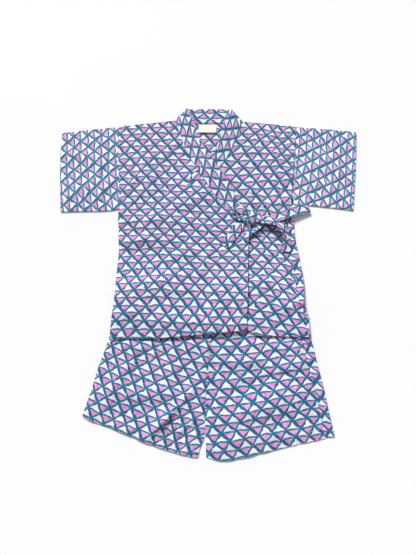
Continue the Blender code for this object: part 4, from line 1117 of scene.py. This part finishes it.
# %% Close the knot over them
KNOT = {"x": 84.6, "y": 116.6, "degrees": -22.0, "low": 7.8, "high": 15.0}
turn = math.radians(KNOT["degrees"])
axis = np.array([math.cos(turn), math.sin(turn)])
points, outward = [], []
for step in np.linspace(-8, 8, 22):
    half = 9.5 + (step / 8) ** 2
    shares = np.linspace(-half, half, 16)
    line = np.array([KNOT["x"], KNOT["y"]]) + step * axis + shares[:, None] * np.array([-axis[1], axis[0]])
    crown = 0.9 * np.cos(shares / half * 1.3) + 0.35 * np.sin(shares * 0.9 + step * 0.5)
    pinch = 0.9 * (step / 8) ** 2
    around, away = tube_section(line, np.full(16, KNOT["low"]), KNOT["high"] + crown - crown[0] - pinch)
    points.append(around)
    outward.append(away)
points, outward = np.array(points), np.array(outward)
girth = steps_from(np.concatenate([points, points[:, :1]], axis=1), 1)
run = np.repeat(np.linspace(0, 16, 22)[:, None], girth.shape[1], axis=1)
shell("tie_knot_cloth", points, outward, np.stack([girth, run], axis=-1), TIE_CLOTH, left_print, ring=True)
print("knot girth, mm:", round(float(girth.max()), 1))

# %% [markdown]
# ## The stitches
# Hems, cuffs and the neckband are held by rows of lock stitches, each a short thread lying on
# the cloth. Modelling hundreds of them by hand would be slow and uneven, so Geometry Nodes walk
# along the stitched lines and put one small thread at every step. The lines came from the
# panels' own grids, so the stitches lie on the cloth wherever it goes.

# %% Sew the stitches
STITCH_PITCH = 3.0
STITCH_LENGTH = 2.1
THREAD_RADIUS = 0.16


def sewing_thread():
    """Spun polyester sewing thread, pale, with a slight lustre from its smooth fibres."""
    material = bpy.data.materials.new("pale_sewing_thread")
    material.use_nodes = True
    tree = material.node_tree
    shader = tree.nodes["Principled BSDF"]
    shader.inputs["Roughness"].default_value = 0.55
    place = add(tree, "ShaderNodeTexCoord", {})
    uneven = add(tree, NOISE, {"Vector": place.outputs["Object"], "Scale": 900.0})
    colour = add(tree, MIX, {0: uneven, 6: linear("#DCE2EC"), 7: linear("#B9C6DA")}, data_type="RGBA")
    tree.links.new(colour.outputs[2], shader.inputs["Base Color"])
    return material


mesh = bpy.data.meshes.new("stitched_lines")
spots, edges = [], []
for line in stitched_lines:
    start = len(spots)
    spots += [tuple((spot + PLAN_SHIFT + (0, 0, THREAD_RADIUS * 0.6)) * MM) for spot in line]
    edges += [(start + step, start + step + 1) for step in range(len(line) - 1)]
mesh.from_pydata(spots, edges, [])
stitches = bpy.data.objects.new("stitched_lines", mesh)
bpy.context.scene.collection.objects.link(stitches)

tree = bpy.data.node_groups.new("stitch_along_lines", "GeometryNodeTree")
tree.interface.new_socket("Geometry", in_out="INPUT", socket_type="NodeSocketGeometry")
pitch_socket = tree.interface.new_socket("Pitch", in_out="INPUT", socket_type="NodeSocketFloat")
length_socket = tree.interface.new_socket("Stitch length", in_out="INPUT", socket_type="NodeSocketFloat")
radius_socket = tree.interface.new_socket("Thread radius", in_out="INPUT", socket_type="NodeSocketFloat")
tree.interface.new_socket("Geometry", in_out="OUTPUT", socket_type="NodeSocketGeometry")
given = add(tree, "NodeGroupInput", {})
lines = add(tree, "GeometryNodeMeshToCurve", {"Mesh": given.outputs["Geometry"]})
walk = add(tree, "GeometryNodeResampleCurve", {"Curve": lines, "Length": given.outputs["Pitch"]},
           mode="LENGTH")
thread = add(tree, "GeometryNodeMeshCylinder", {"Vertices": 6, "Side Segments": 1,
                                                "Radius": given.outputs["Thread radius"],
                                                "Depth": given.outputs["Stitch length"]})
heading = add(tree, "GeometryNodeInputTangent", {})
aim = add(tree, "FunctionNodeAlignRotationToVector", {"Vector": heading}, axis="Z")
sway = add(tree, "FunctionNodeRandomValue", {"Min": (0.0, -0.08, -0.1), "Max": (0.0, 0.08, 0.1), "Seed": 7},
           data_type="FLOAT_VECTOR")
aim = add(tree, "FunctionNodeRotateRotation", {0: aim, 1: sway})
placed = add(tree, "GeometryNodeInstanceOnPoints", {"Points": walk, "Instance": thread, "Rotation": aim})
real = add(tree, "GeometryNodeRealizeInstances", {0: placed})
dyed = add(tree, "GeometryNodeSetMaterial", {"Geometry": real, "Material": sewing_thread()})
add(tree, "NodeGroupOutput", {"Geometry": dyed})

sewing = stitches.modifiers.new("sewing", "NODES")
sewing.node_group = tree
sewing[pitch_socket.identifier] = STITCH_PITCH * MM
sewing[length_socket.identifier] = STITCH_LENGTH * MM
sewing[radius_socket.identifier] = THREAD_RADIUS * MM
evaluated = stitches.evaluated_get(bpy.context.evaluated_depsgraph_get())
sewn_mesh = bpy.data.meshes.new_from_object(evaluated)
sewn_mesh.name = "stitching"
stitching = bpy.data.objects.new("stitching", sewn_mesh)
bpy.context.scene.collection.objects.link(stitching)
bpy.data.objects.remove(stitches)
print("stitches:", len(sewn_mesh.polygons) // 8, "faces:", len(sewn_mesh.polygons))

# %% [markdown]
# ## The floor and the light
# The set was photographed on a white table in soft daylight from the upper left. A pale floor, a
# white sky and one large soft lamp give the same faint shadows along the lower right edges.

# %% Light the table


def pale_board():
    """Matt white painted board, very slightly uneven."""
    material = bpy.data.materials.new("matt_white_board")
    material.use_nodes = True
    tree = material.node_tree
    shader = tree.nodes["Principled BSDF"]
    shader.inputs["Roughness"].default_value = 0.9
    place = add(tree, "ShaderNodeTexCoord", {})
    uneven = add(tree, NOISE, {"Vector": place.outputs["Object"], "Scale": 3.0})
    colour = add(tree, MIX, {0: uneven, 6: linear("#FCFCFC"), 7: linear("#F8F8F9")}, data_type="RGBA")
    tree.links.new(colour.outputs[2], shader.inputs["Base Color"])
    return material


FLOOR_HALF = 2.5
floor_mesh = bpy.data.meshes.new("floor")
floor_mesh.from_pydata([(x, y, -0.0002) for x, y in ((-FLOOR_HALF, -FLOOR_HALF), (FLOOR_HALF, -FLOOR_HALF),
                                                    (FLOOR_HALF, FLOOR_HALF), (-FLOOR_HALF, FLOOR_HALF))],
                       [], [(0, 1, 2, 3)])
floor_mesh.materials.append(pale_board())
floor = bpy.data.objects.new("floor", floor_mesh)
bpy.context.scene.collection.objects.link(floor)

world = bpy.data.worlds.new("soft_daylight")
world.use_nodes = True
world.node_tree.nodes["Background"].inputs["Color"].default_value = (1.0, 1.0, 1.0, 1.0)
world.node_tree.nodes["Background"].inputs["Strength"].default_value = 0.33
bpy.context.scene.world = world

window_data = bpy.data.lights.new("window", "SUN")
window_data.energy = 3.6
window_data.angle = math.radians(16)
window = bpy.data.objects.new("window", window_data)
window.location = (-0.5, 1.0, 0.86)
window.rotation_euler = window.location.to_track_quat("Z", "Y").to_euler()
bpy.context.scene.collection.objects.link(window)
bpy.context.scene.view_settings.view_transform = "Standard"
print("window light comes from", [round(value, 2) for value in window.location])

# %% [markdown]
# ## Handing the cloth over
# Every piece takes the place of its solid and rides on the one body the set has.

RESTS_ON = {
    "back_panel": ["waistband", "shorts_back_left"], "under_front": ["back_panel"],
    "over_front": ["under_front", "back_panel"], "sleeve_left": [], "sleeve_right": [],
    "neckband": ["over_front", "under_front"], "label": ["back_panel"],
    "shorts_back_left": [], "shorts_back_right": [],
    "shorts_front_left": ["shorts_back_left"], "shorts_front_right": ["shorts_back_right"],
    "waistband": [], "tie_knot": ["neckband"], "tie_loop": ["over_front"], "tie_tail_left": ["over_front"],
    "tie_side": ["under_front"], "tie_tail_right": ["tie_side"],
}

for node, below in RESTS_ON.items():
    piece = pieces[node + ("_tape" if node == "label" else "_cloth")]
    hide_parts(node)
    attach(piece, "root")
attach(stitching, "root")
